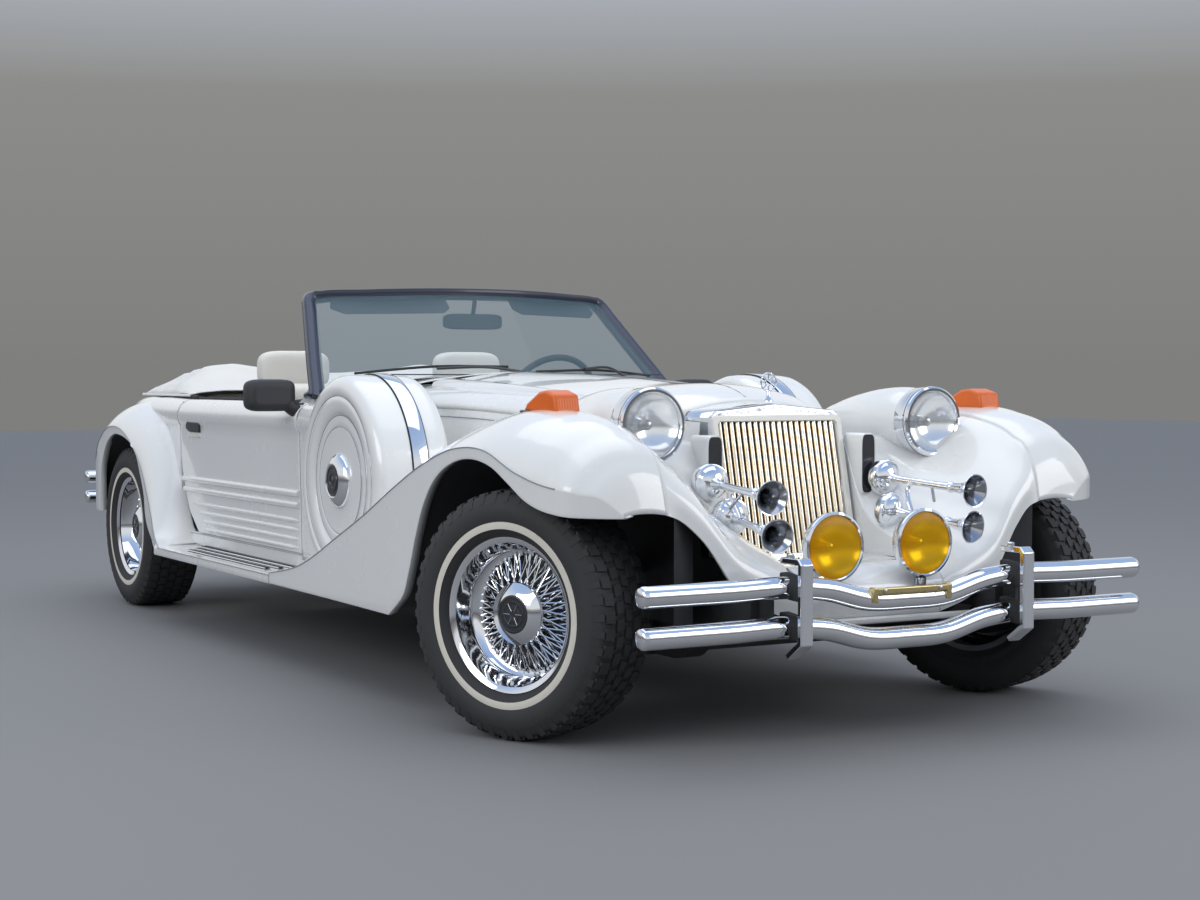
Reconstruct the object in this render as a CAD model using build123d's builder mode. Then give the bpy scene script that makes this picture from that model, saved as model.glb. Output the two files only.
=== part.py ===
"""Neoclassic two-door convertible with clamshell wings and side-mounted spare wheels.

Frame: +Z up, the car's front towards -Y, its right side towards -X, origin on the ground
below the centre of the overall box. Side profiles are drawn in planes whose local x is the
distance behind the front wheels' steering axis datum and whose local y is the height.
"""
from build123d import *
import os
from math import asin, cos, degrees, radians, sin

os.makedirs("parts", exist_ok=True)

# Driving dimensions, millimetres
datum_y = -1900.0            # front datum (front wheel line) in the row frame
wheelbase = 3572.0           # front hub line to rear axle
front_hub_y = 35.0           # front hub line behind the datum, wheels straight
rear_axle_y = front_hub_y + wheelbase

tyre_r = 331.0
tyre_w = 235.0
tyre_wall = 13.0
rim_r = 205.0                # outer flange of the rim
rim_half = 90.0              # half of the rim's width over its flanges
bead_r = 194.0
lace_r = 153.0               # outer end of the wire lacing
cap_r = 83.0                 # hub cap
hub_bore_r = 30.0
spindle_clear = 0.05         # running clearance, radial

kingpin_x = 740.0
kingpin_y = 58.0
scrub = 60.0                 # wheel centre outboard of the steering axis
rest_steer = 22.5            # degrees to the left, as parked
rear_track_half = 725.0

skin = 6.0                   # moulded wing and body wall
belt_z = 826.0               # pinstripe height
door_front_y = 1790.0
door_rear_y = 3092.0
door_gap = 6.0
door_ease = 4.5
door_low_z = 352.0
door_top_z = 868.0
body_half = 765.0            # outer face at the doors
shoulder_half = body_half - 60   # inner edge of the rounded shoulder
door_thick = 92.0
sill_z = 262.0

frame_rail_x = 400.0
rail_w = 64.0
rail_h = 100.0

tube_r = 29.0                # bumper tubes
front_tube_y = -545.0
tube_z_upper = 424.0
tube_z_lower = 324.0
tube_end_x = 807.0
tube_dip = 44.0
rear_tube_y = 4345.0
rear_tube_z_upper = 506.0
rear_tube_z_lower = 416.0
guard_x = 360.0

grille_half = 202.0          # bar field
shell_half = 224.0
shell_top_z = 858.0
shell_low_z = 446.0
grille_lean = 12.5           # degrees
bar_count = 20

headlamp_x = 477.0
headlamp_y = -67.0
headlamp_z = 825.0
headlamp_r = 100.0
fog_x = 148.0
fog_y = -440.0
fog_z = 511.0
fog_r = 93.0

spare_x = body_half + 95     # outer face of the spare wheel cover
spare_y = 1223.0
spare_z = 629.0
spare_r = 333.0
spare_depth = 250.0


def side(x=0.0):
    """Plane seen from the side: local x runs rearwards from the datum, local y is height."""
    return Plane(origin=(x, datum_y, 0), x_dir=(0, 1, 0), z_dir=(1, 0, 0))


def station(y):
    """Plane seen from the front at a distance behind the datum: local x is X, local y is height."""
    return Plane(origin=(0, datum_y + y, 0), x_dir=(1, 0, 0), z_dir=(0, -1, 0))


def plan(z=0.0):
    """Plane seen from above: local x is X, local y runs rearwards from the datum."""
    return Plane(origin=(0, datum_y, z), x_dir=(1, 0, 0), z_dir=(0, 0, 1))


def at(x, y, z):
    return (x, datum_y + y, z)


def finish(part, name):
    part.label = name
    export_step(part, f"parts/{name}.step")


# Wheels: name, kingpin or axle x, y, steer angle, side, scrub
def hub_plane(sgn, steer, kx, ky, out):
    """Plane through a wheel's centre, local x outboard along the axle and local y up."""
    a = radians(steer)
    ax = (sgn * cos(a), sgn * sin(a), 0)
    return Plane(
        origin=(sgn * kx + ax[0] * out, datum_y + ky + ax[1] * out, tyre_r),
        x_dir=ax,
        z_dir=(ax[1], -ax[0], 0),
    )


wheels = [
    ("front_left", hub_plane(1, rest_steer, kingpin_x, kingpin_y, scrub)),
    ("front_right", hub_plane(-1, rest_steer, kingpin_x, kingpin_y, scrub)),
    ("rear_left", hub_plane(1, 0, rear_track_half, rear_axle_y, 0)),
    ("rear_right", hub_plane(-1, 0, rear_track_half, rear_axle_y, 0)),
]

# Tyre form, turned about its own X axis with +X outboard
tyre_half = tyre_w / 2
tread_half = tyre_half - 22
bead_x = rim_half - 7       # outer face of the bead, inside the rim flange
with BuildPart() as tyre_form:
    with BuildSketch():
        with BuildLine():
            ThreePointArc((bead_x + 8, rim_r + 2), (tyre_half, 266), (tread_half, tyre_r - 7))
            ThreePointArc((tread_half, tyre_r - 7), (0, tyre_r), (-tread_half, tyre_r - 7))
            ThreePointArc((-tread_half, tyre_r - 7), (-tyre_half, 266), (-bead_x - 8, rim_r + 2))
            Polyline((-bead_x - 8, rim_r + 2), (-bead_x, rim_r + 1), (-bead_x, bead_r), (-bead_x + tyre_wall, bead_r),
                     (-bead_x + tyre_wall - 5, rim_r + 12))
            ThreePointArc((-bead_x + tyre_wall - 5, rim_r + 12), (-tyre_half + tyre_wall, 266),
                          (-tread_half + tyre_wall, tyre_r - 22))
            Line((-tread_half + tyre_wall, tyre_r - 22), (tread_half - tyre_wall, tyre_r - 22))
            ThreePointArc((tread_half - tyre_wall, tyre_r - 22), (tyre_half - tyre_wall, 266),
                          (bead_x - tyre_wall + 5, rim_r + 12))
            Polyline((bead_x - tyre_wall + 5, rim_r + 12), (bead_x - tyre_wall, bead_r), (bead_x, bead_r),
                     (bead_x, rim_r + 1), (bead_x + 8, rim_r + 2))
        make_face()
    revolve(axis=Axis.X)

# Wheel form: dished rim, wire lacing, hub with its cap, brake disc
lace_count = 20
with BuildPart() as wheel_form:
    with BuildSketch():
        with BuildLine():
            Polyline(
                (rim_half, bead_r - 8), (rim_half, rim_r), (rim_half - 5, rim_r), (rim_half - 6, bead_r - 1),
                (rim_half - 18, bead_r - 2), (40, 172), (-20, 172), (-rim_half + 18, bead_r - 2),
                (-rim_half + 6, bead_r - 1), (-rim_half + 5, rim_r), (-rim_half, rim_r),
                (-rim_half, bead_r - 8), (-30, 164), (24, 164), close=True,
            )
        make_face()
        with BuildLine():
            Polyline(
                (-38, hub_bore_r + spindle_clear), (-38, 62), (20, 62), (44, cap_r), (52, cap_r),
                (60, 66), (70, 48), (70, 0.0), (52, 0.0), (52, hub_bore_r + spindle_clear), close=True,
            )
        make_face()
        with BuildLine():
            Polyline((-14, 60), (-14, 166), (-8, 166), (-8, 60), close=True)
        make_face()
        with BuildLine():
            Polyline((-34, 60), (-34, 130), (-24, 130), (-24, 60), close=True)
        make_face()
    revolve(axis=Axis.X)
    wires = []
    for k in range(lace_count):
        for lean in (-16, 16):
            a0, a1 = radians(360 / lace_count * k + lean), radians(360 / lace_count * k)
            foot = Vector(42, 72 * cos(a0), 72 * sin(a0))
            head = Vector(16, 165 * cos(a1), 165 * sin(a1))
            wires.append(Plane(origin=foot, z_dir=head - foot))
    with BuildSketch(*wires):
        Rectangle(5, 5)
    extrude(amount=(head - foot).length)

for corner, hub in wheels:
    with BuildPart() as tyre:
        with Locations(hub):
            add(tyre_form.part)
    finish(tyre.part, f"tyre_{corner}")
    with BuildPart() as wheel:
        with Locations(hub):
            add(wheel_form.part)
    finish(wheel.part, f"wheel_{corner}")

# Steering knuckles: spindle, boss and upright on the steering axis, steering arm behind
upright_half = 118.0
for name, sgn in (("left", 1), ("right", -1)):
    hub = hub_plane(sgn, rest_steer, kingpin_x, kingpin_y, scrub)
    with BuildPart() as knuckle:
        with BuildSketch(hub):
            with BuildLine():
                Polyline((-scrub - 34, 0), (-scrub - 34, 46), (-44, 46), (-44, hub_bore_r), (50, hub_bore_r),
                         (50, 0), close=True)
            make_face()
        revolve(axis=Axis(hub.origin, hub.x_dir))
        with BuildSketch(Plane(origin=(sgn * kingpin_x, datum_y + kingpin_y, tyre_r - upright_half))):
            Circle(12)
        extrude(amount=2 * upright_half)
        with BuildSketch(hub):
            with Locations((-scrub - 16, 0)):
                Rectangle(30, 150)
        extrude(amount=16, both=True)
        with BuildSketch(hub):
            with Locations((-scrub - 20, -60)):
                Rectangle(24, 24)
        extrude(amount=-150 if sgn > 0 else -150)
    finish(knuckle.part, f"knuckle_{name}")

# Ladder frame with arched rear ends and cross members
with BuildPart() as chassis_frame:
    with BuildLine(side(frame_rail_x)) as rail_path:
        FilletPolyline(
            (-470, 374), (-300, 374), (-120, 250), (3090, 250), (3300, 440), (3880, 440), (4020, 400), (4250, 400),
            radius=60,
        )
    with BuildSketch(Plane(origin=rail_path.line @ 0, x_dir=(1, 0, 0), z_dir=rail_path.line % 0)):
        Rectangle(rail_w, rail_h)
    sweep(path=rail_path.line)
    mirror(about=Plane.YZ)
    for y, z in ((-180, 290), (330, 215), (1120, 215), (1950, 215), (2900, 215), (3320, 450), (3950, 425)):
        with BuildSketch(side(-frame_rail_x)):
            with Locations((y, z)):
                Rectangle(70, 46)
        extrude(amount=2 * frame_rail_x)
    # Outriggers below the running boards
    for y in (1830, 2360, 2860):
        with BuildSketch(station(y)):
            with BuildLine():
                Polyline((frame_rail_x + 30, 215), (frame_rail_x + 30, 286), (860, 286), (860, 270), (560, 240),
                         close=True)
            make_face()
        extrude(amount=-30)
    mirror(about=Plane.YZ)
finish(chassis_frame.part, "chassis_frame")

# Floor, tunnel and running board levels
floor_z = 306.0
floor_t = 6.0
tunnel_half, tunnel_h = 150.0, 175.0
toe_y = 1572.0               # rear face of the firewall
heel_y = 3060.0
board_top = 292.0

# Engine and gearbox as one plain block
with BuildPart() as engine_block:
    with BuildSketch(side(-240)):
        with BuildLine():
            Polyline((470, 330), (470, 790), (1120, 790), (1230, 468), (1900, 450), (1900, 330), (1300, 315),
                     (1100, 305), close=True)
        make_face()
    extrude(amount=480)
    with BuildSketch(plan(240)):
        with Locations((-200, 1580), (200, 1580)):
            Rectangle(190, 760)
    extrude(amount=500, mode=Mode.SUBTRACT)
finish(engine_block.part, "engine_block")


def body_section(y, half, low, belt, top_half, top):
    """Closed cross-section of the body sides: upright flank, rounded shoulder, flat top."""
    with BuildSketch(station(y)) as s:
        with BuildLine():
            Line((-half + 8, low), (-half, belt - 60))
            ThreePointArc((-half, belt - 60), (-half + 12, (belt + top) / 2 + 8), (-top_half, top))
            Line((-top_half, top), (top_half, top))
            ThreePointArc((top_half, top), (half - 12, (belt + top) / 2 + 8), (half, belt - 60))
            Line((half, belt - 60), (half - 8, low))
            Line((half - 8, low), (-half + 8, low))
        make_face()
    return s.sketch


# Rear body: quarters, tail and boot opening, one moulded shell
rear_stations = (
    # y, half width, low z, belt z, shoulder half width, top z
    (door_rear_y + door_gap / 2, body_half, door_low_z, belt_z, shoulder_half, door_top_z),
    (3560, body_half - 20, 360, 824, shoulder_half - 25, 872),
    (3950, body_half - 65, 380, 805, shoulder_half - 85, 858),
    (4180, body_half - 125, 400, 740, shoulder_half - 145, 800),
)
with BuildPart() as rear_form:
    loft(sections=[body_section(*row) for row in rear_stations])
with BuildPart() as rear_body:
    add(rear_form.part)
    loft(
        sections=[
            body_section(y if n == 0 else y - (n == 3) * 14, w - skin * 2, low - 40, belt, th - skin, top - skin * 1.6)
            for n, (y, w, low, belt, th, top) in enumerate(rear_stations)
        ],
        mode=Mode.SUBTRACT,
    )
    # Rear wheel openings
    with BuildSketch(side(-1000)):
        with Locations((rear_axle_y - 20, tyre_r)):
            Circle(395)
    extrude(amount=2000, mode=Mode.SUBTRACT)
    add(chassis_frame.part, mode=Mode.SUBTRACT)
    # Cabin and boot openings in the top
    with BuildSketch(plan(780)):
        with Locations((0, 3330)):
            Rectangle(1180, 640)
    extrude(amount=200, mode=Mode.SUBTRACT)
    with BuildSketch(plan(780)):
        with Locations((0, 3985)):
            Rectangle(900, 310)
    extrude(amount=200, mode=Mode.SUBTRACT)
finish(rear_body.part, "rear_body")

# Boot lid, hinged along its front edge
with BuildPart() as trunk_lid:
    with BuildSketch(side(-443)):
        with BuildLine():
            Line((3837, 860), (3837, 866))
            Spline((3837, 866), (3980, 853), (4133, 826))
            Line((4133, 826), (4131, 820))
            Spline((4131, 820), (3980, 847), (3837, 860))
        make_face()
    extrude(amount=886)
finish(trunk_lid.part, "trunk_lid")

# Boot floor and bulkhead behind the rear seat
with BuildPart() as boot_tub:
    with BuildSketch(side(-560)):
        with BuildLine():
            Polyline((3640, 491), (3640, 840), (3646, 840), (3646, 497), (4150, 497), (4150, 491), close=True)
        make_face()
    extrude(amount=1120)
finish(boot_tub.part, "boot_tub")

# Doors: thick slabs with the body's shoulder, a pocket inside, a sail at the screen pillar,
# and the lower rear corner cut clear of the rear wing
for name, sgn in (("left", 1), ("right", -1)):
    y0, y1 = door_front_y + door_gap / 2, door_rear_y - door_gap / 2
    inner = body_half - door_thick
    with BuildPart() as door:
        with BuildSketch(station(y0)):
            with BuildLine():
                Polyline((sgn * inner, door_top_z - 10), (sgn * inner, door_low_z), (sgn * (body_half - 7), door_low_z),
                         (sgn * body_half, belt_z - 60))
                ThreePointArc((sgn * body_half, belt_z - 60), (sgn * (body_half - 12), (belt_z + door_top_z) / 2 + 8),
                              (sgn * shoulder_half, door_top_z))
                Line((sgn * shoulder_half, door_top_z), (sgn * inner, door_top_z - 10))
            make_face()
        extrude(amount=-(y1 - y0))
        with BuildSketch(side(sgn * (inner + 12))):
            with BuildLine():
                Polyline((y0 + 14, door_top_z - 20), (y0 + 14, door_top_z + 26), (y0 + 130, door_top_z - 20),
                         close=True)
            make_face()
        extrude(amount=sgn * 16)
        with BuildSketch(side(sgn * (inner - 2))):
            with Locations(((y0 + y1) / 2 - 20, 590)):
                RectangleRounded(y1 - y0 - 220, 270, 60)
        extrude(amount=sgn * (door_thick - 24), mode=Mode.SUBTRACT)
        with BuildSketch(side(sgn * (inner - 2))):
            with BuildLine():
                Spline((2900, door_low_z - 1), (2995, 425), (3050, 520), (y1 + 1, 640))
                Polyline((y1 + 1, 640), (y1 + 1, door_low_z - 1), (2900, door_low_z - 1))
            make_face()
        extrude(amount=sgn * (door_thick + 4), mode=Mode.SUBTRACT)
        # Inner rear corner eased back, so that it swings clear of the quarter
        with BuildSketch(Plane(origin=at(0, 0, door_low_z - 1), x_dir=(1, 0, 0), z_dir=(0, 0, 1))):
            with BuildLine():
                Polyline((sgn * (inner - 2), y1 + 1), (sgn * (inner - 2), y1 - door_ease), (sgn * body_half, y1 + 1),
                         close=True)
            make_face()
        extrude(amount=600, mode=Mode.SUBTRACT)
    finish(door.part, f"door_{name}")

    with BuildPart() as fittings:
        # Mirror head and its foot
        with BuildSketch(station(1806)):
            with Locations((sgn * (body_half + 87), 894)):
                RectangleRounded(168, 110, 30)
        extrude(amount=-66)
        with BuildSketch(station(1808)):
            with BuildLine():
                Polyline((sgn * (body_half - 25), 812), (sgn * (body_half - 65), 880), (sgn * (body_half + 25), 900),
                         (sgn * (body_half + 65), 870), (sgn * (body_half + 27), 812), close=True)
            make_face()
        extrude(amount=-50)
        # Flap handle
        with BuildSketch(side(sgn * (body_half - 6))):
            with Locations((2920, 758)):
                RectangleRounded(180, 40, 8)
        extrude(amount=sgn * 14)
        add(door.part, mode=Mode.SUBTRACT)
    finish(fittings.part, f"door_fittings_{name}")

# Cowl: firewall, scuttle top and the short body sides ahead of the doors
cowl_y = 1566.0
cowl_mid_z = 972.0


def cowl_section(y, t, low):
    with BuildSketch(station(y)) as s:
        with BuildLine():
            Line((t - body_half + 7, low), (t - body_half, belt_z - 60))
            ThreePointArc((t - body_half, belt_z - 60), (t * 0.8 - body_half + 12, (belt_z + door_top_z) / 2 + 8 - t / 2),
                          (-shoulder_half, door_top_z - t))
            ThreePointArc((-shoulder_half, door_top_z - t), (0, cowl_mid_z - t), (shoulder_half, door_top_z - t))
            ThreePointArc((shoulder_half, door_top_z - t), (body_half - 12 - t * 0.8, (belt_z + door_top_z) / 2 + 8 - t / 2),
                          (body_half - t, belt_z - 60))
            Line((body_half - t, belt_z - 60), (body_half - 7 - t, low))
            Line((body_half - 7 - t, low), (t - body_half + 7, low))
        make_face()
    return s.sketch


with BuildPart() as cowl_form:
    extrude(cowl_section(cowl_y, 0, door_low_z), amount=-(door_front_y - door_gap / 2 - cowl_y))
with BuildPart() as cowl_panel:
    add(cowl_form.part)
    extrude(cowl_section(toe_y, skin + 2, door_low_z - 100), amount=-500, mode=Mode.SUBTRACT)
    # Tunnel gap and lower toe edge of the firewall
    with BuildSketch(station(cowl_y - 10)):
        with Locations((0, 400)):
            Rectangle(2 * tunnel_half + 10, 190)
    extrude(amount=-40, mode=Mode.SUBTRACT)
finish(cowl_panel.part, "cowl_panel")

# Hood, one moulded panel with rounded ridges, hinged at its rear edge
hood_front_y = 192.0
hood_rear_y = 1560.0
hood_rows = (
    # y, ridge half, ridge z, edge half, edge z, centre z
    (hood_front_y, 205, 868, 222, 838, 894),
    (620, 315, 886, 380, 842, 938),
    (1080, 380, 905, 448, 862, 962),
    (hood_rear_y, 412, 918, 486, 868, 974),
)


def hood_section(y, ridge, ridge_z, edge, edge_z, mid):
    bulge_x, bulge_z = (ridge + edge) / 2 + 5, (ridge_z + edge_z) / 2 + 8
    t = skin
    with BuildSketch(station(y)) as s:
        with BuildLine():
            ThreePointArc((-edge, edge_z), (-bulge_x, bulge_z), (-ridge, ridge_z))
            ThreePointArc((-ridge, ridge_z), (0, mid), (ridge, ridge_z))
            ThreePointArc((ridge, ridge_z), (bulge_x, bulge_z), (edge, edge_z))
            Line((edge, edge_z), (edge - t, edge_z))
            ThreePointArc((edge - t, edge_z), (bulge_x - t, bulge_z - t * 0.6), (ridge - 2, ridge_z - t))
            ThreePointArc((ridge - 2, ridge_z - t), (0, mid - t), (2 - ridge, ridge_z - t))
            ThreePointArc((2 - ridge, ridge_z - t), (t - bulge_x, bulge_z - t * 0.6), (t - edge, edge_z))
            Line((t - edge, edge_z), (-edge, edge_z))
        make_face()
    return s.sketch


with BuildPart() as hood:
    loft(sections=[hood_section(*row) for row in hood_rows])
finish(hood.part, "hood")

# Engine compartment sides between hood and wings
side_rows = (
    # y, top half, top z, low half, low z
    (70, 240, 828, 246, 600), (hood_front_y, 243, 832, 262, 590), (620, 378, 830, 410, 560),
    (1080, 446, 850, 500, 400), (1566, 484, 856, 556, 262),
)


def side_section(y, top_half, top_z, low_half, low_z):
    with BuildSketch(station(y)) as s:
        with BuildLine():
            Polyline((top_half, top_z), (low_half, low_z), (low_half - skin, low_z), (top_half - skin, top_z),
                     close=True)
        make_face()
    return s.sketch


with BuildPart() as hood_sides:
    loft(sections=[side_section(*row) for row in side_rows], ruled=True)
    mirror(about=Plane.YZ)
finish(hood_sides.part, "hood_sides")


def bay_section(y, top_half, top_z, low_half, low_z):
    slope = (low_half - top_half) / (top_z - low_z)
    with BuildSketch(station(y)) as s:
        with BuildLine():
            Polyline((top_half - 200 * slope, top_z + 200), (low_half + 100 * slope, low_z - 100), (0, low_z - 100),
                     (0, top_z + 200), close=True)
        make_face()
    return s.sketch


# Space between the side panels' outer faces, to which wings and pods are trimmed
with BuildPart() as bay_form:
    loft(sections=[bay_section(*row) for row in side_rows], ruled=True)
    mirror(about=Plane.YZ)

# Front wings: crowned clamshell swept from the nose to the running board
wing_half = body_half + 157
wing_join_x = 617.0          # seam between wing and front apron
wing_rows = (
    # y, outer x, crest z, crown x, crown z, inner x, inner z
    (-352, wing_half - 132, 650, 700, 688, wing_join_x, 668),
    (-322, wing_half - 76, 668, 690, 752, wing_join_x, 734),
    (-245, wing_half - 36, 700, 690, 812, wing_join_x, 788),
    (-110, wing_half - 12, 738, 695, 856, wing_join_x, 832),
    (66, wing_half - 2, 774, 700, 868, wing_join_x, 842),
    (244, wing_half, 760, 700, 856, 480, 806),
    (438, wing_half, 709, 698, 812, 300, 736),
    (644, wing_half - 1, 636, 690, 735, 340, 672),
    (865, wing_half - 6, 547, 690, 628, 400, 590),
    (1080, wing_half - 10, 468, 700, 524, 430, 500),
    (1440, wing_half - 14, 344, 720, 372, 480, 368),
    (1720, wing_half - 17, 301, 740, 309, 574, 309),
)


def wing_section(y, outer, crest, mid_x, mid_z, inner, inner_z, low=sill_z, t=0.0):
    with BuildSketch(station(y)) as s:
        with BuildLine():
            Line((outer - t, low), (outer - t, crest - t * 0.5))
            ThreePointArc((outer - t, crest - t * 0.5), (mid_x, mid_z - t), (inner, inner_z - t))
            Polyline((inner, inner_z - t), (inner - t * 8, inner_z - t), (inner - t * 8, low)) if t else Line(
                (inner, inner_z), (inner, low))
            Line((inner - t * 8, low), (outer - t, low))
        make_face()
    return s.sketch


wing_opening = (
    (683, 250), (672, 275), (581, 330), (492, 506), (438, 600), (370, 668), (244, 723), (120, 738), (20, 728),
    (-60, 680), (-140, 638), (-230, 614), (-420, 606),
)
with BuildPart() as wing_form:
    loft(sections=[wing_section(*row) for row in wing_rows])
with BuildPart() as front_fender_left:
    add(wing_form.part)
    loft(
        sections=[
            wing_section(row[0] + (skin if n == 0 else 12 if n == len(wing_rows) - 1 else 0), *row[1:],
                         low=sill_z - 20, t=skin)
            for n, row in enumerate(wing_rows)
        ],
        mode=Mode.SUBTRACT,
    )
    with BuildSketch(side(590)):
        with BuildLine():
            Spline(*wing_opening)
            Polyline(wing_opening[-1], (-420, 150), (683, 150), wing_opening[0])
        make_face()
    extrude(amount=400, mode=Mode.SUBTRACT)
    # Well for the side-mounted spare
    with BuildSketch(side(spare_x - spare_depth - 8)):
        with Locations((spare_y, spare_z)):
            Circle(spare_r + 12)
    extrude(amount=spare_depth + 28, mode=Mode.SUBTRACT)
    add(bay_form.part, mode=Mode.SUBTRACT)
finish(front_fender_left.part, "front_fender_left")
with BuildPart() as front_fender_right:
    mirror(front_fender_left.part, about=Plane.YZ)
finish(front_fender_right.part, "front_fender_right")

# Running boards with raised tread strips
board_y0, board_y1 = 1722.0, 2950.0
board_out = wing_half - 17
with BuildPart() as running_boards:
    with BuildSketch(station(board_y0)):
        with BuildLine():
            Polyline((560, board_top), (560, board_top - skin), (board_out - skin, board_top - skin),
                     (board_out - skin, sill_z), (board_out, sill_z), (board_out, board_top - 8),
                     (board_out - 8, board_top), close=True)
        make_face()
    extrude(amount=-(board_y1 - board_y0))
    with BuildSketch(plan(board_top)):
        for x in (668, 712, 756, 800, 844):
            with Locations((x, 2500)):
                SlotOverall(960 - (x - 660) * 0.6, 16, rotation=90)
    extrude(amount=5)
    mirror(about=Plane.YZ)
finish(running_boards.part, "running_boards")

# Floor pressing with its tunnel, from the toe board to the rear seat, and the rocker sills
with BuildPart() as floor_pan:
    with BuildSketch(station(toe_y)):
        with BuildLine():
            Polyline(
                (-600, floor_z), (-tunnel_half, floor_z), (30 - tunnel_half, floor_z + tunnel_h),
                (tunnel_half - 30, floor_z + tunnel_h), (tunnel_half, floor_z), (600, floor_z),
                (600, floor_z + floor_t), (tunnel_half + 4, floor_z + floor_t),
                (tunnel_half - 26, floor_z + tunnel_h + floor_t), (26 - tunnel_half, floor_z + tunnel_h + floor_t),
                (-tunnel_half - 4, floor_z + floor_t), (-600, floor_z + floor_t), close=True,
            )
        make_face()
    extrude(amount=-(heel_y - toe_y))
    with BuildSketch(station(1724)):
        with BuildLine():
            Polyline((600, board_top), (640, board_top), (body_half - 10, door_low_z - 8), (600, door_low_z - 8),
                     close=True)
        make_face()
    extrude(amount=-(heel_y - 1724))
    mirror(about=Plane.YZ)
    add(wing_form.part, mode=Mode.SUBTRACT)
    mirror(wing_form.part, about=Plane.YZ, mode=Mode.SUBTRACT)
    add(chassis_frame.part, mode=Mode.SUBTRACT)
finish(floor_pan.part, "floor_pan")

# Rear wings
rear_wing_rows = (
    (2952, wing_half - 20, 290, 815, 318, 730, 330),
    (3120, wing_half - 44, 400, 815, 520, 730, 560),
    (3270, wing_half - 52, 560, 808, 690, 730, 742),
    (3470, wing_half - 54, 705, 802, 790, 720, 826),
    (3670, wing_half - 54, 753, 796, 814, 700, 842),
    (3850, wing_half - 56, 700, 785, 766, 680, 800),
    (3950, wing_half - 64, 610, 775, 668, 650, 706),
    (4014, wing_half - 94, 480, 750, 528, 620, 560),
)
rear_opening = ((3030, 250), (3120, 312), (3205, 365), (3245, 480), (3350, 627), (3500, 700), (3665, 716),
                (3800, 665), (3870, 578), (3884, 450), (3880, 250))
with BuildPart() as rear_fender_left:
    loft(sections=[wing_section(*row) for row in rear_wing_rows])
    loft(
        sections=[
            wing_section(row[0] + (-10 if n == 0 else -skin if n == len(rear_wing_rows) - 1 else 0), *row[1:],
                         low=sill_z - 20, t=skin)
            for n, row in enumerate(rear_wing_rows)
        ],
        mode=Mode.SUBTRACT,
    )
    with BuildSketch(side(600)):
        with BuildLine():
            Spline(*rear_opening)
            Polyline(rear_opening[-1], (3880, 150), (3030, 150), rear_opening[0])
        make_face()
    extrude(amount=400, mode=Mode.SUBTRACT)
    add(rear_form.part, mode=Mode.SUBTRACT)
    # Clear of the door's rear corner
    with BuildSketch(side(500)):
        with Locations((3000, 450)):
            Rectangle(2 * (door_rear_y - 3000), 900)
    extrude(amount=body_half + 3 - 500, mode=Mode.SUBTRACT)
finish(rear_fender_left.part, "rear_fender_left")
with BuildPart() as rear_fender_right:
    mirror(rear_fender_left.part, about=Plane.YZ)
finish(rear_fender_right.part, "rear_fender_right")

# Front apron: one hollow-curved panel from wing to wing below and beside the grille
apron_rows = (
    # x, then y and z of the outer face from its lower lip up
    (0, (-400, 316), (-412, 386), (-372, 420), (-220, 440), (-60, 448)),
    (225, (-400, 316), (-412, 392), (-340, 444), (-120, 540), (40, 700)),
    (418, (-405, 400), (-400, 480), (-300, 570), (-130, 670), (60, 760)),
    (520, (-380, 560), (-368, 614), (-280, 676), (-120, 722), (60, 776)),
    (wing_join_x, (-352, 606), (-350, 664), (-250, 782), (-110, 830), (62, 842)),
)


def apron_section(x, *points):
    with BuildSketch(side(x)) as s:
        with BuildLine():
            back = [(y + 5, z - 4) for y, z in points]
            Spline(*points)
            Line(points[-1], back[-1])
            Spline(*back[::-1])
            Line(back[0], points[0])
        make_face()
    return s.sketch


def apron_block_section(x, *points):
    with BuildSketch(side(x)) as s:
        with BuildLine():
            Spline(*points)
            Polyline(points[-1], (points[-1][0], 250), (points[0][0], 250), points[0])
        make_face()
    return s.sketch


lean = radians(grille_lean)
grille_plane = Plane(
    origin=(0, datum_y - 44, shell_low_z), x_dir=(1, 0, 0), z_dir=(0, -cos(lean), sin(lean))
)
shell_h = (shell_top_z - shell_low_z) / cos(lean)
shell_depth = 130.0
with BuildPart() as shell_form:
    with BuildSketch(grille_plane):
        with BuildLine():
            Polyline((-shell_half, 0), (-shell_half, shell_h - 14), (-shell_half + 20, shell_h), (0, shell_h + 22),
                     (shell_half - 20, shell_h), (shell_half, shell_h - 14), (shell_half, 0), close=True)
        make_face()
    extrude(amount=shell_depth, dir=(0, 1, 0))

# Valley beside the hood, from the apron's rear edge back to where the wing meets the hood side
valley_rows = (
    # y, then x and z from the hood side out to the wing
    (58, (200, 694), (418, 758), (640, 846)),
    (244, (200, 700), (370, 748), (520, 815)),
    (440, (200, 690), (260, 715), (330, 742)),
)


def valley_section(y, *points, depth=skin):
    with BuildSketch(station(y)) as s:
        with BuildLine():
            Polyline(*points, *((x, z - depth) for x, z in points[::-1]), close=True)
        make_face()
    return s.sketch


with BuildPart() as apron_block:
    loft(sections=[apron_block_section(*row) for row in apron_rows])
    loft(sections=[valley_section(*row, depth=400) for row in valley_rows], ruled=True)
    mirror(about=Plane.YZ)
with BuildPart() as front_apron:
    loft(sections=[apron_section(*row) for row in apron_rows])
    loft(sections=[valley_section(*row) for row in valley_rows], ruled=True)
    add(bay_form.part, mode=Mode.SUBTRACT)
    mirror(about=Plane.YZ)
    add(shell_form.part, mode=Mode.SUBTRACT)
    add(chassis_frame.part, mode=Mode.SUBTRACT)
    add(wing_form.part, mode=Mode.SUBTRACT)
    mirror(wing_form.part, about=Plane.YZ, mode=Mode.SUBTRACT)
finish(front_apron.part, "front_apron")

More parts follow.
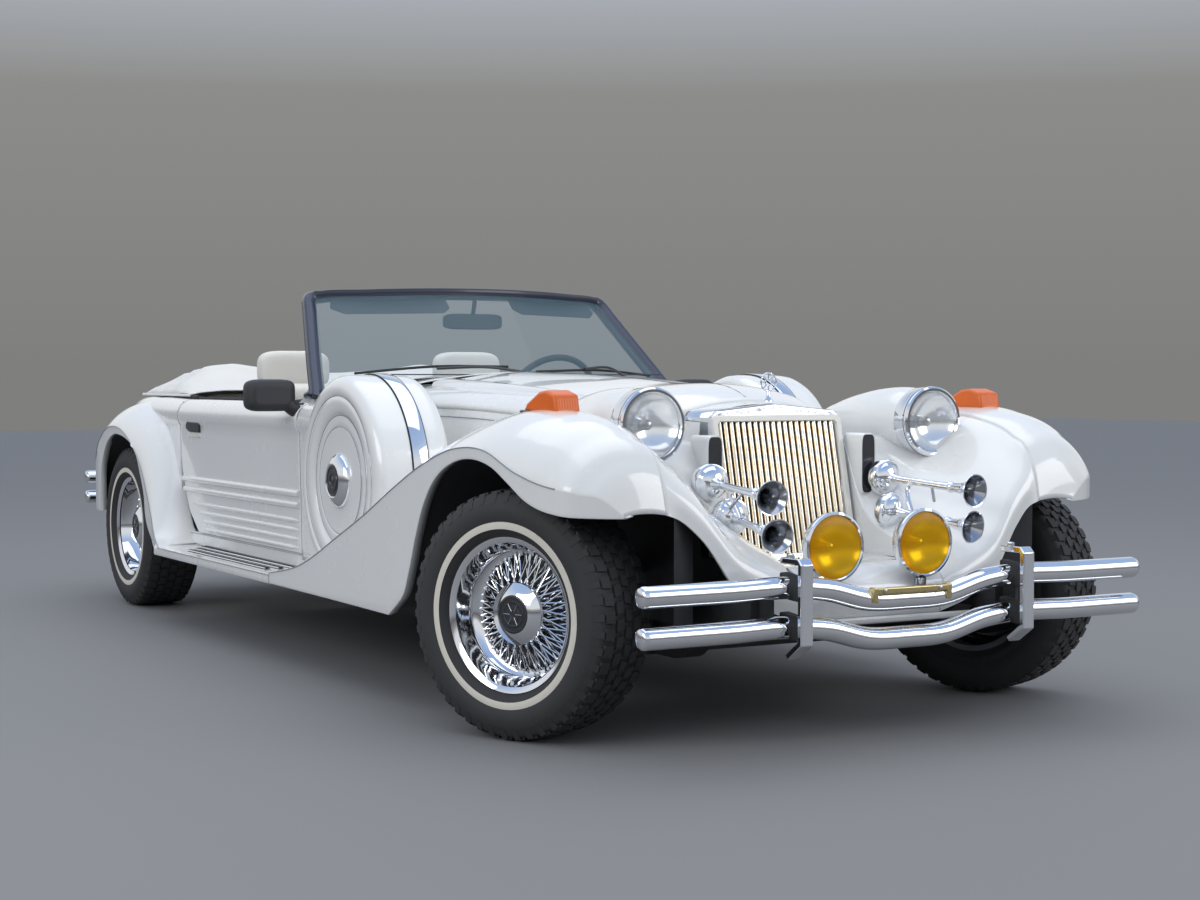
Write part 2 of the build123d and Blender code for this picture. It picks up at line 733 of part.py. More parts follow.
# Grille: leaning chrome shell with a low peak, and its upright bars
bar_low, bar_high = 14.0, shell_h - 30
with BuildPart() as grille_shell:
    add(shell_form.part)
    with BuildSketch(grille_plane):
        with Locations((0, (bar_low + bar_high) / 2)):
            Rectangle(2 * grille_half, bar_high - bar_low)
    extrude(amount=shell_depth, dir=(0, 1, 0), mode=Mode.SUBTRACT)
    # Crest mascot on its foot
    with BuildSketch(Plane(origin=(0, datum_y + 80, shell_top_z + 16))):
        Circle(13)
    extrude(amount=26, taper=8)
    with BuildSketch(station(74)):
        with Locations((0, shell_top_z + 66)):
            Circle(26)
            Circle(19, mode=Mode.SUBTRACT)
    extrude(amount=-8)
finish(grille_shell.part, "grille_shell")

bar_pitch = 2 * grille_half / bar_count
with BuildPart() as grille_bars:
    with BuildSketch(Plane(grille_plane.origin + Vector(0, 12, 0), grille_plane.x_dir, grille_plane.z_dir)):
        with Locations((0, (bar_low + bar_high) / 2)):
            with GridLocations(bar_pitch, 1, bar_count, 1):
                Rectangle(bar_pitch * 0.58, bar_high - bar_low)
    extrude(amount=16, dir=(0, 1, 0))
    with BuildSketch(Plane(grille_plane.origin + Vector(0, 26, 0), grille_plane.x_dir, grille_plane.z_dir)):
        for h in (bar_low + 8, bar_high - 8, (bar_low + bar_high) / 2):
            with Locations((0, h)):
                Rectangle(2 * grille_half, 12)
    extrude(amount=8, dir=(0, 1, 0))
finish(grille_bars.part, "grille_bars")

# Front bumper: twin tubes dipped at the centre, with their irons
with BuildPart() as front_bumper:
    for z in (tube_z_upper, tube_z_lower):
        with BuildLine(station(front_tube_y)) as path:
            FilletPolyline((-tube_end_x, z), (-300, z), (-100, z - tube_dip), (100, z - tube_dip), (300, z),
                           (tube_end_x, z), radius=170)
        with BuildSketch(Plane(origin=path.line @ 0, z_dir=path.line % 0)):
            Circle(tube_r)
        sweep(path=path.line)
    for x in (-frame_rail_x, frame_rail_x):
        with BuildSketch(side(x - 6)):
            with Locations(((front_tube_y - 470) / 2, (tube_z_upper + tube_z_lower) / 2)):
                Rectangle(-470 - front_tube_y, 120)
        extrude(amount=12)
finish(front_bumper.part, "front_bumper")

with BuildPart() as rear_bumper:
    for z in (rear_tube_z_upper, rear_tube_z_lower):
        with BuildSketch(side(-tube_end_x)):
            with Locations((rear_tube_y, z)):
                Circle(tube_r)
        extrude(amount=2 * tube_end_x)
    for x in (-frame_rail_x, frame_rail_x):
        with BuildSketch(side(x - 6)):
            with BuildLine():
                Polyline((4250, 372), (4250, 440), (rear_tube_y, rear_tube_z_upper + 10),
                         (rear_tube_y, rear_tube_z_lower - 16), close=True)
            make_face()
        extrude(amount=12)
finish(rear_bumper.part, "rear_bumper")

# Bumper guards, hooked over the tubes, front and rear
with BuildPart() as bumper_guards:
    with BuildSketch(side(guard_x - 19)):
        with BuildLine():
            Polyline((-522, 486), (-522, 503), (-600, 503), (-614, 488), (-614, 284), (-552, 244), (-544, 258),
                     (-596, 294), (-596, 486), close=True)
        make_face()
    extrude(amount=38)
    with BuildSketch(side(guard_x - 19)):
        with BuildLine():
            Polyline((4326, 566), (4326, 582), (4400, 582), (4414, 568), (4414, 376), (4352, 338), (4344, 352),
                     (4396, 386), (4396, 566), close=True)
        make_face()
    extrude(amount=38)
    mirror(about=Plane.YZ)
finish(bumper_guards.part, "bumper_guards")

# Rubber blocks that seat the guards on the tubes
with BuildPart() as guard_blocks:
    with BuildSketch(side(guard_x - 26)):
        with BuildLine():
            Polyline((-596, 300), (-596, 485), (-524, 485), (-512, 440), (-512, 300), close=True)
        make_face()
        with Locations((front_tube_y, tube_z_upper), (front_tube_y, tube_z_lower)):
            Circle(tube_r + 0.3, mode=Mode.SUBTRACT)
    extrude(amount=52)
    with BuildSketch(side(guard_x - 26)):
        with BuildLine():
            Polyline((4396, 392), (4396, 565), (4326, 565), (4312, 520), (4312, 392), close=True)
        make_face()
        with Locations((rear_tube_y, rear_tube_z_upper), (rear_tube_y, rear_tube_z_lower)):
            Circle(tube_r + 0.3, mode=Mode.SUBTRACT)
    extrude(amount=52)
    mirror(about=Plane.YZ)
finish(guard_blocks.part, "guard_blocks")


def lamp_plane(x, y, z):
    """Plane for a round lamp: local x points forwards out of the lens, local y points up."""
    return Plane(origin=at(x, y, z), x_dir=(0, -1, 0), z_dir=(1, 0, 0))


# Headlamp pods: teardrops fading into the wings
with BuildPart() as headlamp_pods:
    front = lamp_plane(headlamp_x, headlamp_y + 56, headlamp_z)
    with BuildSketch(front):
        with BuildLine():
            Line((0, 0), (0, headlamp_r - 4))
            Spline((0, headlamp_r - 4), (-150, 92), (-330, 62), (-500, 0), tangents=[(-1, 0.1), (-0.3, -1)])
            Line((-500, 0), (0, 0))
        make_face()
    revolve(axis=Axis(front.origin, front.x_dir))
    add(wing_form.part, mode=Mode.SUBTRACT)
    add(apron_block.part, mode=Mode.SUBTRACT)
    add(bay_form.part, mode=Mode.SUBTRACT)
    add(front_apron.part, mode=Mode.SUBTRACT)
    mirror(about=Plane.YZ)
finish(headlamp_pods.part, "headlamp_pods")

# Chrome drums and bezels of headlamps and fog lamps
with BuildPart() as lamp_shells:
    front = lamp_plane(headlamp_x, headlamp_y + 56, headlamp_z)
    with BuildSketch(front):
        with BuildLine():
            Polyline((0, 60), (0, headlamp_r - 2), (44, headlamp_r), (56, headlamp_r - 6), (58, headlamp_r - 16),
                     (50, headlamp_r - 14), (20, 60), close=True)
        make_face()
    revolve(axis=Axis(front.origin, front.x_dir))
    add(wing_form.part, mode=Mode.SUBTRACT)
    add(apron_block.part, mode=Mode.SUBTRACT)
    add(front_apron.part, mode=Mode.SUBTRACT)
    fog = lamp_plane(fog_x, fog_y, fog_z)
    with BuildSketch(fog):
        with BuildLine():
            Line((4, fog_r - 10), (0, fog_r))
            Line((0, fog_r), (-14, fog_r))
            Spline((-14, fog_r), (-60, 70), (-86, 0), tangents=[(-1, 0), (0, -1)])
            Line((-86, 0), (-78, 0))
            Spline((-78, 0), (-56, 62), (-14, fog_r - 10), tangents=[(0, 1), (1, 0)])
            Line((-14, fog_r - 10), (4, fog_r - 10))
        make_face()
    revolve(axis=Axis(fog.origin, fog.x_dir))
    with BuildSketch(Plane(origin=at(fog_x - 8, fog_y + 8, fog_z - fog_r - 20))):
        Circle(9)
    extrude(amount=28)
    with BuildSketch(side(fog_x - 20)):
        with BuildLine():
            Polyline((fog_y - 4, fog_z - fog_r - 6), (fog_y + 20, fog_z - fog_r - 6), (fog_y + 20, fog_z - fog_r - 22),
                     (front_tube_y + 15, tube_z_upper - 48), (front_tube_y + 15, tube_z_upper - 32), close=True)
        make_face()
    extrude(amount=24)
    add(front_bumper.part, mode=Mode.SUBTRACT)
    mirror(about=Plane.YZ)
finish(lamp_shells.part, "lamp_shells")


def ball_radius(r, sag):
    """Radius of the sphere whose cap has rim radius r and height sag."""
    return (r * r + sag * sag) / (2 * sag)


headlamp_ball = ball_radius(headlamp_r - 17, 18)
with BuildPart() as headlamp_lenses:
    front = lamp_plane(headlamp_x, headlamp_y + 56, headlamp_z)
    with BuildSketch(front):
        with BuildLine():
            dome = CenterArc((69 - headlamp_ball, 0), headlamp_ball, 0, degrees(asin((headlamp_r - 17) / headlamp_ball)))
            Polyline(dome @ 1, (51, 0), dome @ 0)
        make_face()
    revolve(axis=Axis(front.origin, front.x_dir))
    add(wing_form.part, mode=Mode.SUBTRACT)
    add(front_apron.part, mode=Mode.SUBTRACT)
    mirror(about=Plane.YZ)
finish(headlamp_lenses.part, "headlamp_lenses")

fog_ball = ball_radius(fog_r - 11, 16)
with BuildPart() as fog_lamp_lenses:
    fog = lamp_plane(fog_x, fog_y, fog_z)
    with BuildSketch(fog):
        with BuildLine():
            dome = CenterArc((8 - fog_ball, 0), fog_ball, 0, degrees(asin((fog_r - 11) / fog_ball)))
            Polyline(dome @ 1, (-8, 0), dome @ 0)
        make_face()
    revolve(axis=Axis(fog.origin, fog.x_dir))
    mirror(about=Plane.YZ)
finish(fog_lamp_lenses.part, "fog_lamp_lenses")

# Turn signals on the wing crowns
with BuildPart() as turn_signals:
    with BuildSketch(side(720 - 48)):
        with BuildLine():
            Polyline((-40, 840), (-26, 914), (60, 914), (150, 872), (150, 840), close=True)
        make_face()
    extrude(amount=96)
    add(wing_form.part, mode=Mode.SUBTRACT)
    mirror(about=Plane.YZ)
finish(turn_signals.part, "turn_signals")

# Twin trumpet horns beside the grille, with their drivers and hanger
with BuildPart() as horns:
    for rear, bell in (((290, -26, 670), (335, -422, 644)), ((250, -87, 577), (323, -429, 545))):
        foot = Vector(*at(*rear))
        run = Vector(*at(*bell)) - foot
        blow = Plane(origin=foot, x_dir=run, z_dir=run.cross(Vector(0, 0, 1)))
        reach = run.length
        with BuildSketch(blow):
            with BuildLine():
                Polyline((-34, 0), (-34, 36), (-22, 42), (0, 42), (8, 30), (20, 10), (reach - 110, 8))
                Spline((reach - 110, 8), (reach - 40, 17), (reach, 41), tangents=[(1, 0), (0.5, 1)])
                Line((reach, 41), (reach - 2, 37))
                Spline((reach - 2, 37), (reach - 40, 13), (reach - 100, 3), tangents=[(-0.5, -1), (-1, 0)])
                Polyline((reach - 100, 3), (reach - 100, 0), (-34, 0))
            make_face()
        revolve(axis=Axis(foot, run))
    with BuildSketch(side(300)):
        with BuildLine():
            Polyline((-200, 556), (-200, 664), (-188, 664), (-170, 600), (-188, 556), close=True)
        make_face()
    extrude(amount=26)
    add(apron_block.part, mode=Mode.SUBTRACT)
    add(front_apron.part, mode=Mode.SUBTRACT)
    mirror(about=Plane.YZ)
finish(horns.part, "horns")

# Tail lamps on the body's tail
with BuildPart() as tail_lamps:
    with BuildSketch(station(4181)):
        with Locations((500, 640)):
            RectangleRounded(74, 170, 20)
    extrude(amount=-26)
    mirror(about=Plane.YZ)
finish(tail_lamps.part, "tail_lamps")

# Side-mounted spares in their moulded covers, with chrome bands and centre caps
with BuildPart() as spare_cover_left:
    with BuildSketch(plan(spare_z)):
        d = spare_depth
        with BuildLine():
            Polyline(
                (spare_x - d - 130, spare_y), (spare_x - d - 130, spare_y + 45), (spare_x - d, spare_y + 45),
                (spare_x - d, spare_y + spare_r - 22), (spare_x - d + 22, spare_y + spare_r),
                (spare_x - 30, spare_y + spare_r), (spare_x - 4, spare_y + spare_r - 26),
                (spare_x, spare_y + 275), (spare_x - 7, spare_y + 266), (spare_x, spare_y + 258),
                (spare_x, spare_y + 216), (spare_x - 10, spare_y + 206), (spare_x - 10, spare_y), close=True,
            )
        make_face()
    revolve(axis=Axis((spare_x, datum_y + spare_y, spare_z), (1, 0, 0)))
    add(bay_form.part, mode=Mode.SUBTRACT)
finish(spare_cover_left.part, "spare_cover_left")
with BuildPart() as spare_cover_right:
    mirror(spare_cover_left.part, about=Plane.YZ)
finish(spare_cover_right.part, "spare_cover_right")

with BuildPart() as spare_bands:
    with BuildSketch(side(spare_x - 164)):
        with Locations((spare_y, spare_z)):
            Circle(spare_r + 4)
            Circle(spare_r, mode=Mode.SUBTRACT)
    extrude(amount=48)
    with BuildSketch(plan(spare_z)):
        with BuildLine():
            Polyline((spare_x - 10, spare_y), (spare_x - 10, spare_y + 85), (spare_x + 2, spare_y + 80),
                     (spare_x + 10, spare_y + 50), (spare_x + 12, spare_y), close=True)
        make_face()
    revolve(axis=Axis((spare_x, datum_y + spare_y, spare_z), (1, 0, 0)))
    mirror(about=Plane.YZ)
finish(spare_bands.part, "spare_bands")


def screen_strip(z, y_mid, y_end, half, t):
    """Plan section of the curved windscreen at one height."""
    with BuildSketch(plan(z)) as s:
        with BuildLine():
            ThreePointArc((-half, y_end), (0, y_mid), (half, y_end))
            Line((half, y_end), (half, y_end + t))
            ThreePointArc((half, y_end + t), (0, y_mid + t), (-half, y_end + t))
            Line((-half, y_end + t), (-half, y_end))
        make_face()
    return s.sketch


def screen_outline(inset):
    """Front view of the windscreen, bowed along its foot and its header."""
    with BuildSketch(station(1500)) as s:
        with BuildLine():
            ThreePointArc((-712 + inset, 880 + inset * 2), (0, 958 + inset), (712 - inset, 880 + inset * 2))
            Line((712 - inset, 880 + inset * 2), (602 - inset, 1256 - inset))
            ThreePointArc((602 - inset, 1256 - inset), (0, 1280 - inset), (-602 + inset, 1256 - inset))
            Line((-602 + inset, 1256 - inset), (-712 + inset, 880 + inset * 2))
        make_face()
    return s.sketch


screen_rim = 30.0
with BuildPart() as windshield_frame:
    loft(sections=[screen_strip(870, cowl_y - 38, cowl_y + 166, 720, 26),
                   screen_strip(1290, cowl_y + 424, cowl_y + 684, 720, 26)])
    extrude(screen_outline(0), amount=-800, mode=Mode.INTERSECT)
    extrude(screen_outline(screen_rim), amount=-800, mode=Mode.SUBTRACT)
    add(cowl_form.part, mode=Mode.SUBTRACT)
finish(windshield_frame.part, "windshield_frame")

with BuildPart() as windshield_glass:
    loft(sections=[screen_strip(870, cowl_y - 28, cowl_y + 176, 720, 5),
                   screen_strip(1290, cowl_y + 434, cowl_y + 694, 720, 5)])
    extrude(screen_outline(screen_rim + 0.3), amount=-800, mode=Mode.INTERSECT)
    add(cowl_form.part, mode=Mode.SUBTRACT)
finish(windshield_glass.part, "windshield_glass")

wheel_tilt = radians(25)
wheel_centre = at(360, 2078, 862)
column_dir = Vector(0, cos(wheel_tilt), sin(wheel_tilt))
with BuildPart() as steering_wheel:
    column = Plane(origin=wheel_centre, x_dir=(1, 0, 0), z_dir=column_dir)
    with BuildSketch(Plane(origin=wheel_centre, x_dir=(1, 0, 0), z_dir=(0, -sin(wheel_tilt), cos(wheel_tilt)))):
        with Locations((185, 0)):
            Circle(13)
    revolve(axis=Axis(column.origin, column.z_dir))
    with BuildSketch(column.offset(-40)):
        Circle(42)
    extrude(amount=40)
    with BuildSketch(column.offset(-14)):
        with PolarLocations(0, 3, start_angle=-90):
            with Locations((100, 0)):
                Rectangle(170, 26)
    extrude(amount=10)
finish(steering_wheel.part, "steering_wheel")

with BuildPart() as steering_column:
    with BuildSketch(column.offset(-46)):
        Circle(26)
    extrude(amount=-120)
finish(steering_column.part, "steering_column")

# Dashboard with its centre console
with BuildPart() as dashboard:
    with BuildSketch(side(-655)):
        with BuildLine():
            Polyline((1796, 690), (1796, 856), (1860, 892), (1960, 886), (2000, 850), (1970, 700), close=True)
        make_face()
    extrude(amount=1310)
    with BuildSketch(side(-110)):
        with BuildLine():
            Polyline((1800, 490), (1800, 700), (1960, 700), (2060, 600), (2700, 580), (2700, 490), close=True)
        make_face()
    extrude(amount=220)
    add(steering_column.part, mode=Mode.SUBTRACT)
finish(dashboard.part, "dashboard")

# Seats, plain closed forms
seat_x = 380.0
with BuildPart() as front_seats:
    with BuildSketch(side(seat_x - 215)):
        with BuildLine():
            Polyline((2250, 420), (2230, 540), (2660, 520), (2760, 890), (2850, 908), (2880, 880), (2800, 420),
                     close=True)
        make_face()
    extrude(amount=430)
    with BuildSketch(station(2775)):
        with Locations((seat_x, 978)):
            RectangleRounded(290, 140, 40)
    extrude(amount=-90)
    mirror(about=Plane.YZ)
finish(front_seats.part, "front_seats")

with BuildPart() as rear_seat:
    with BuildSketch(side(-560)):
        with BuildLine():
            Polyline((3120, 492), (3120, 600), (3450, 580), (3540, 860), (3620, 860), (3620, 492),
                     close=True)
        make_face()
    extrude(amount=1120)
finish(rear_seat.part, "rear_seat")

# Folded soft top under its boot cover
with BuildPart() as soft_top_stack:
    with BuildSketch(station(3400)):
        with BuildLine():
            Line((-690, 876), (690, 876))
            Spline((690, 876), (600, 960), (420, 1005), (0, 995), (-420, 1005), (-600, 960), (-690, 876))
        make_face()
    extrude(amount=-380)
    with BuildSketch(side(-720)):
        with BuildLine():
            Polyline((3700, 1060), (3800, 1060), (3800, 900), close=True)
        make_face()
    extrude(amount=1440, mode=Mode.SUBTRACT)
finish(soft_top_stack.part, "soft_top_stack")

# Exhaust: pipe, silencer and tail pipe on each side
with BuildPart() as exhaust:
    with BuildLine(side(272)) as path:
        FilletPolyline((1180, 300), (1300, 165), (4200, 165), (4330, 210), radius=90)
    with BuildSketch(Plane(origin=path.line @ 0, z_dir=path.line % 0)):
        Circle(22)
    sweep(path=path.line)
    with BuildSketch(station(2100)):
        with Locations((272, 175)):
            RectangleRounded(200, 110, 50)
    extrude(amount=-600)
    mirror(about=Plane.YZ)
finish(exhaust.part, "exhaust")

with BuildPart() as fuel_tank:
    with BuildSketch(station(3995)):
        with Locations((0, 330)):
            RectangleRounded(620, 140, 30)
    extrude(amount=-155)
finish(fuel_tank.part, "fuel_tank")

# Rear axle with differential and hub spindles, drive shaft, spring towers and trailing links
with BuildPart() as rear_axle:
    with BuildSketch(Plane(origin=at(-rear_track_half + 44, rear_axle_y, tyre_r), z_dir=(1, 0, 0))):
        Circle(40)
    extrude(amount=2 * (rear_track_half - 44))
    with BuildSketch(Plane(origin=at(-rear_track_half - 50, rear_axle_y, tyre_r), z_dir=(1, 0, 0))):
        Circle(hub_bore_r)
    extrude(amount=2 * (rear_track_half + 50))
    with BuildSketch(plan(tyre_r)):
        with BuildLine():
            Line((0, rear_axle_y - 150), (0, rear_axle_y + 118))
            ThreePointArc((0, rear_axle_y + 118), (112, rear_axle_y), (52, rear_axle_y - 110))
            Polyline((52, rear_axle_y - 110), (44, rear_axle_y - 150), (0, rear_axle_y - 150))
        make_face()
    revolve(axis=Axis(at(0, rear_axle_y, tyre_r), (0, 1, 0)))
    shaft = Vector(*at(0, 1904, 390))
    tail = Vector(*at(0, rear_axle_y - 140, tyre_r))
    with BuildSketch(Plane(origin=shaft, z_dir=tail - shaft)):
        Circle(36)
    extrude(amount=(tail - shaft).length)
    # Coil springs between the axle and the frame arches
    with BuildSketch(plan(tyre_r + 30)):
        with Locations((frame_rail_x, rear_axle_y), (-frame_rail_x, rear_axle_y)):
            Circle(48)
    extrude(amount=29)
    # Trailing links
    with BuildSketch(side(-330)):
        with BuildLine():
            Polyline((rear_axle_y, 300), (rear_axle_y, 330), (2936, 240), (2936, 205), close=True)
        make_face()
    extrude(amount=30)
    with BuildSketch(side(300)):
        with BuildLine():
            Polyline((rear_axle_y, 300), (rear_axle_y, 330), (2936, 240), (2936, 205), close=True)
        make_face()
    extrude(amount=30)
finish(rear_axle.part, "rear_axle")

# Front suspension: cross beam, towers, lower and upper arms with their eyes on the steering axis
arm_z = upright_half - 14
with BuildPart() as front_suspension:
    with BuildSketch(side(-frame_rail_x - 40)):
        with Locations((kingpin_y, 226)):
            Rectangle(90, 60)
    extrude(amount=2 * (frame_rail_x + 40))
    for x in (-frame_rail_x - 46, frame_rail_x + 46):
        with BuildSketch(side(x - 12)):
            with Locations((kingpin_y, 360)):
                Rectangle(110, 280)
        extrude(amount=24)
    for z in (tyre_r - arm_z, tyre_r + arm_z):
        with BuildSketch(plan(z - 11)):
            for sgn in (-1, 1):
                with BuildLine():
                    Polyline((sgn * (frame_rail_x + 40), kingpin_y - 70), (sgn * (kingpin_x - 10), kingpin_y - 16),
                             (sgn * (kingpin_x - 10), kingpin_y + 16), (sgn * (frame_rail_x + 40), kingpin_y + 70),
                             close=True)
                make_face()
            with Locations((-kingpin_x, kingpin_y), (kingpin_x, kingpin_y)):
                Circle(22)
            with Locations((-kingpin_x, kingpin_y), (kingpin_x, kingpin_y)):
                Circle(12 + spindle_clear, mode=Mode.SUBTRACT)
            with Locations((-560, kingpin_y), (560, kingpin_y)):
                RectangleRounded(150, 44, 14, mode=Mode.SUBTRACT)
        extrude(amount=22)
    add(chassis_frame.part, mode=Mode.SUBTRACT)
finish(front_suspension.part, "front_suspension")
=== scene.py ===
import math

import bpy
import numpy as np
from mathutils import Matrix, Vector


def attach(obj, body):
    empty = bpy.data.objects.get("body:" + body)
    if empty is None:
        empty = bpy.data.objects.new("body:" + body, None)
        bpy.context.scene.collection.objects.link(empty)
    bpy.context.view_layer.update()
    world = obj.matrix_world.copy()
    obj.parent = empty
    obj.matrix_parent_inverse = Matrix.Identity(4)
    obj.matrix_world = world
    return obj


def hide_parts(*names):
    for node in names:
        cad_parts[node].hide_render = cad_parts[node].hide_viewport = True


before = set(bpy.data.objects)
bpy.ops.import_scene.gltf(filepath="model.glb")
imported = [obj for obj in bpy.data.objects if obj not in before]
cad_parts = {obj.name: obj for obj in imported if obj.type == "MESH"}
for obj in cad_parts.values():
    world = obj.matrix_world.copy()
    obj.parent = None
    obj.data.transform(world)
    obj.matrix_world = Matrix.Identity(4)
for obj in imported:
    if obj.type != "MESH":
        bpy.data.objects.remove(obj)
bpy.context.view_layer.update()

# Places are in millimetres: x out from the car's middle, y back from the front datum, z up from the ground
DATUM = -1.9                                    # the front datum along the frame's Y, in metres
SIDES = (("left", 1), ("right", -1))
AHEAD, ASTERN, UP, OUTWARD = (0, -1, 0), (0, 1, 0), (0, 0, 1), (1, 0, 0)
DOOR = "door_*"
TURN = 2 * math.pi
rad = math.radians

# Materials
COAT_ROUGHNESS = 0.04
BUMP_DEPTH = 0.002
BUMPS = {  # pattern: its texture node, and the output that gives the height
    "NOISE": ("ShaderNodeTexNoise", "Fac"), "VORONOI": ("ShaderNodeTexVoronoi", "Distance"),
    "WEAVE": ("ShaderNodeTexWave", "Fac"), "FLUTE": ("ShaderNodeTexWave", "Fac"),
}


def material(name, color, rough=0.4, metal=0.0, coat=0.0, noise=40.0, vary=0.05, bump=0.0, bump_scale=300.0,
             alpha=1.0, ior=1.5, pattern="NOISE", sheen=0.0, rough_vary=0.06):
    """A finish whose colour and roughness drift with a noise, over a fine bump."""
    m = bpy.data.materials.new(name)
    m.use_nodes = True
    nodes, link = m.node_tree.nodes, m.node_tree.links.new
    shader = nodes["Principled BSDF"].inputs
    for socket, value in (("Metallic", metal), ("Coat Weight", coat), ("Coat Roughness", COAT_ROUGHNESS),
                          ("Alpha", alpha), ("IOR", ior), ("Sheen Weight", sheen)):
        shader[socket].default_value = value
    place = nodes.new("ShaderNodeTexCoord").outputs["Object"]
    drift = nodes.new("ShaderNodeTexNoise")
    drift.inputs["Scale"].default_value = noise
    drift.inputs["Detail"].default_value = 4
    shade = nodes.new("ShaderNodeMix")
    shade.data_type = "RGBA"
    shade.inputs["A"].default_value = [max(0, c * (1 - vary)) for c in color] + [1]
    shade.inputs["B"].default_value = [min(1, c * (1 + vary)) for c in color] + [1]
    gloss = nodes.new("ShaderNodeMapRange")
    gloss.inputs["To Min"].default_value = max(0.0, rough - rough_vary / 2)
    gloss.inputs["To Max"].default_value = min(1.0, rough + rough_vary / 2)
    link(place, drift.inputs["Vector"])
    link(drift.outputs["Fac"], shade.inputs["Factor"])
    link(drift.outputs["Fac"], gloss.inputs["Value"])
    link(shade.outputs["Result"], shader["Base Color"])
    link(gloss.outputs["Result"], shader["Roughness"])
    if bump:
        kind, height = BUMPS[pattern]
        grain = nodes.new(kind)
        grain.inputs["Scale"].default_value = bump_scale
        if pattern == "WEAVE":
            grain.inputs["Distortion"].default_value = 1.5
        relief = nodes.new("ShaderNodeBump")
        relief.inputs["Strength"].default_value = bump
        relief.inputs["Distance"].default_value = BUMP_DEPTH
        link(place, grain.inputs["Vector"])
        link(grain.outputs[height], relief.inputs["Height"])
        link(relief.outputs["Normal"], shader["Normal"])
    return m


WHITE = material("paint_white", (0.77, 0.775, 0.77), 0.27, coat=1.0, noise=3, vary=0.012, bump=0.02,
                 bump_scale=160)
LIP = material("paint_lip", (0.74, 0.72, 0.66), 0.42, coat=0.5, noise=6, vary=0.03, bump=0.03, bump_scale=160)
CHROME = material("chrome", (0.80, 0.81, 0.83), 0.055, metal=1, noise=14, vary=0.03, rough_vary=0.04)
# the vanes' warm cream tint is a painted reflection of warm surroundings, set into the chrome's colour
VANE_CHROME_PAINTED_REFLECTION = material("grille_chrome_painted_reflection", (0.84, 0.77, 0.65), 0.10, metal=1, noise=18, vary=0.05)
CHROME_DARK = material("chrome_shaded", (0.42, 0.43, 0.45), 0.16, metal=1, noise=18, vary=0.08)
DISC = material("disc_shadow", (0.055, 0.055, 0.06), 0.38, metal=0.7, noise=30, vary=0.2)
STEEL = material("steel", (0.52, 0.52, 0.51), 0.34, metal=1, noise=60, vary=0.12, bump=0.08, bump_scale=500)
BRASS = material("brass_bracket", (0.62, 0.50, 0.25), 0.28, metal=1, noise=60, vary=0.15)
BLACK = material("black_enamel", (0.020, 0.020, 0.022), 0.35, coat=0.4, noise=20, vary=0.3, bump=0.05,
                 bump_scale=200)
CHASSIS = material("chassis_black", (0.028, 0.028, 0.03), 0.55, noise=30, vary=0.35, bump=0.15,
                   bump_scale=120)
NAVY = material("frame_navy", (0.020, 0.026, 0.048), 0.34, coat=0.35, noise=25, vary=0.12, bump=0.08,
                bump_scale=700)
PLASTIC = material("black_plastic", (0.026, 0.026, 0.028), 0.48, noise=40, vary=0.1, bump=0.22,
                   bump_scale=900, pattern="VORONOI")
RUBBER = material("rubber", (0.022, 0.022, 0.022), 0.72, noise=50, vary=0.2, bump=0.12, bump_scale=600)
TYRE = material("tyre_rubber", (0.030, 0.030, 0.031), 0.70, noise=22, vary=0.22, bump=0.25, bump_scale=420)
WHITEWALL = material("whitewall", (0.70, 0.66, 0.58), 0.55, noise=35, vary=0.06, bump=0.05, bump_scale=300)
STRIPE = material("pinstripe", (0.22, 0.24, 0.27), 0.4, coat=0.6, noise=30, vary=0.05)
GAP = material("panel_gap", (0.05, 0.05, 0.055), 0.8, noise=30, vary=0.1)
LEATHER = material("leather_white", (0.74, 0.72, 0.67), 0.46, noise=9, vary=0.04, bump=0.35, bump_scale=420,
                   pattern="VORONOI")
CLOTH = material("soft_top_cloth", (0.74, 0.74, 0.73), 0.72, noise=12, vary=0.04, bump=0.3, bump_scale=260,
                 pattern="WEAVE", sheen=0.3)
CARPET = material("carpet", (0.05, 0.05, 0.055), 0.95, noise=90, vary=0.3, bump=0.6, bump_scale=700,
                  sheen=0.4)
SCREEN = material("screen_glass", (0.24, 0.38, 0.46), 0.02, noise=2, vary=0.02, alpha=0.24, ior=1.45,
                  rough_vary=0.0)
LENS = material("lamp_glass", (0.90, 0.93, 0.95), 0.05, noise=10, vary=0.02, alpha=0.20, bump=0.35,
                bump_scale=22, pattern="FLUTE")
YELLOW = material("lens_yellow", (0.86, 0.46, 0.002), 0.14, noise=22, vary=0.2, alpha=0.42, bump=0.3,
                  bump_scale=26, pattern="FLUTE")
GOLD = material("lens_yellow_bowl", (1.0, 0.56, 0.012), 0.26, metal=1, noise=24, vary=0.18, bump=0.12,
                bump_scale=60)
AMBER = material("lens_amber", (0.70, 0.12, 0.0), 0.38, coat=0.12, noise=20, vary=0.12, bump=0.3,
                 bump_scale=40, pattern="FLUTE")
RED = material("lens_red", (0.45, 0.008, 0.008), 0.14, coat=1.0, noise=20, vary=0.12, bump=0.4, bump_scale=40,
               pattern="FLUTE")
MIRROR = material("mirror_glass", (0.85, 0.87, 0.9), 0.02, metal=1, noise=4, vary=0.01, rough_vary=0.0)
BULB = material("lamp_reflector", (0.93, 0.93, 0.92), 0.16, metal=1, noise=40, vary=0.05)
CAST = material("cast_iron", (0.10, 0.10, 0.105), 0.6, metal=0.4, noise=40, vary=0.3, bump=0.4,
                bump_scale=180)


# Curves

def at(x, y, z):
    """A point of the frame, in metres, from millimetres."""
    return (x / 1000, DATUM + y / 1000, z / 1000)


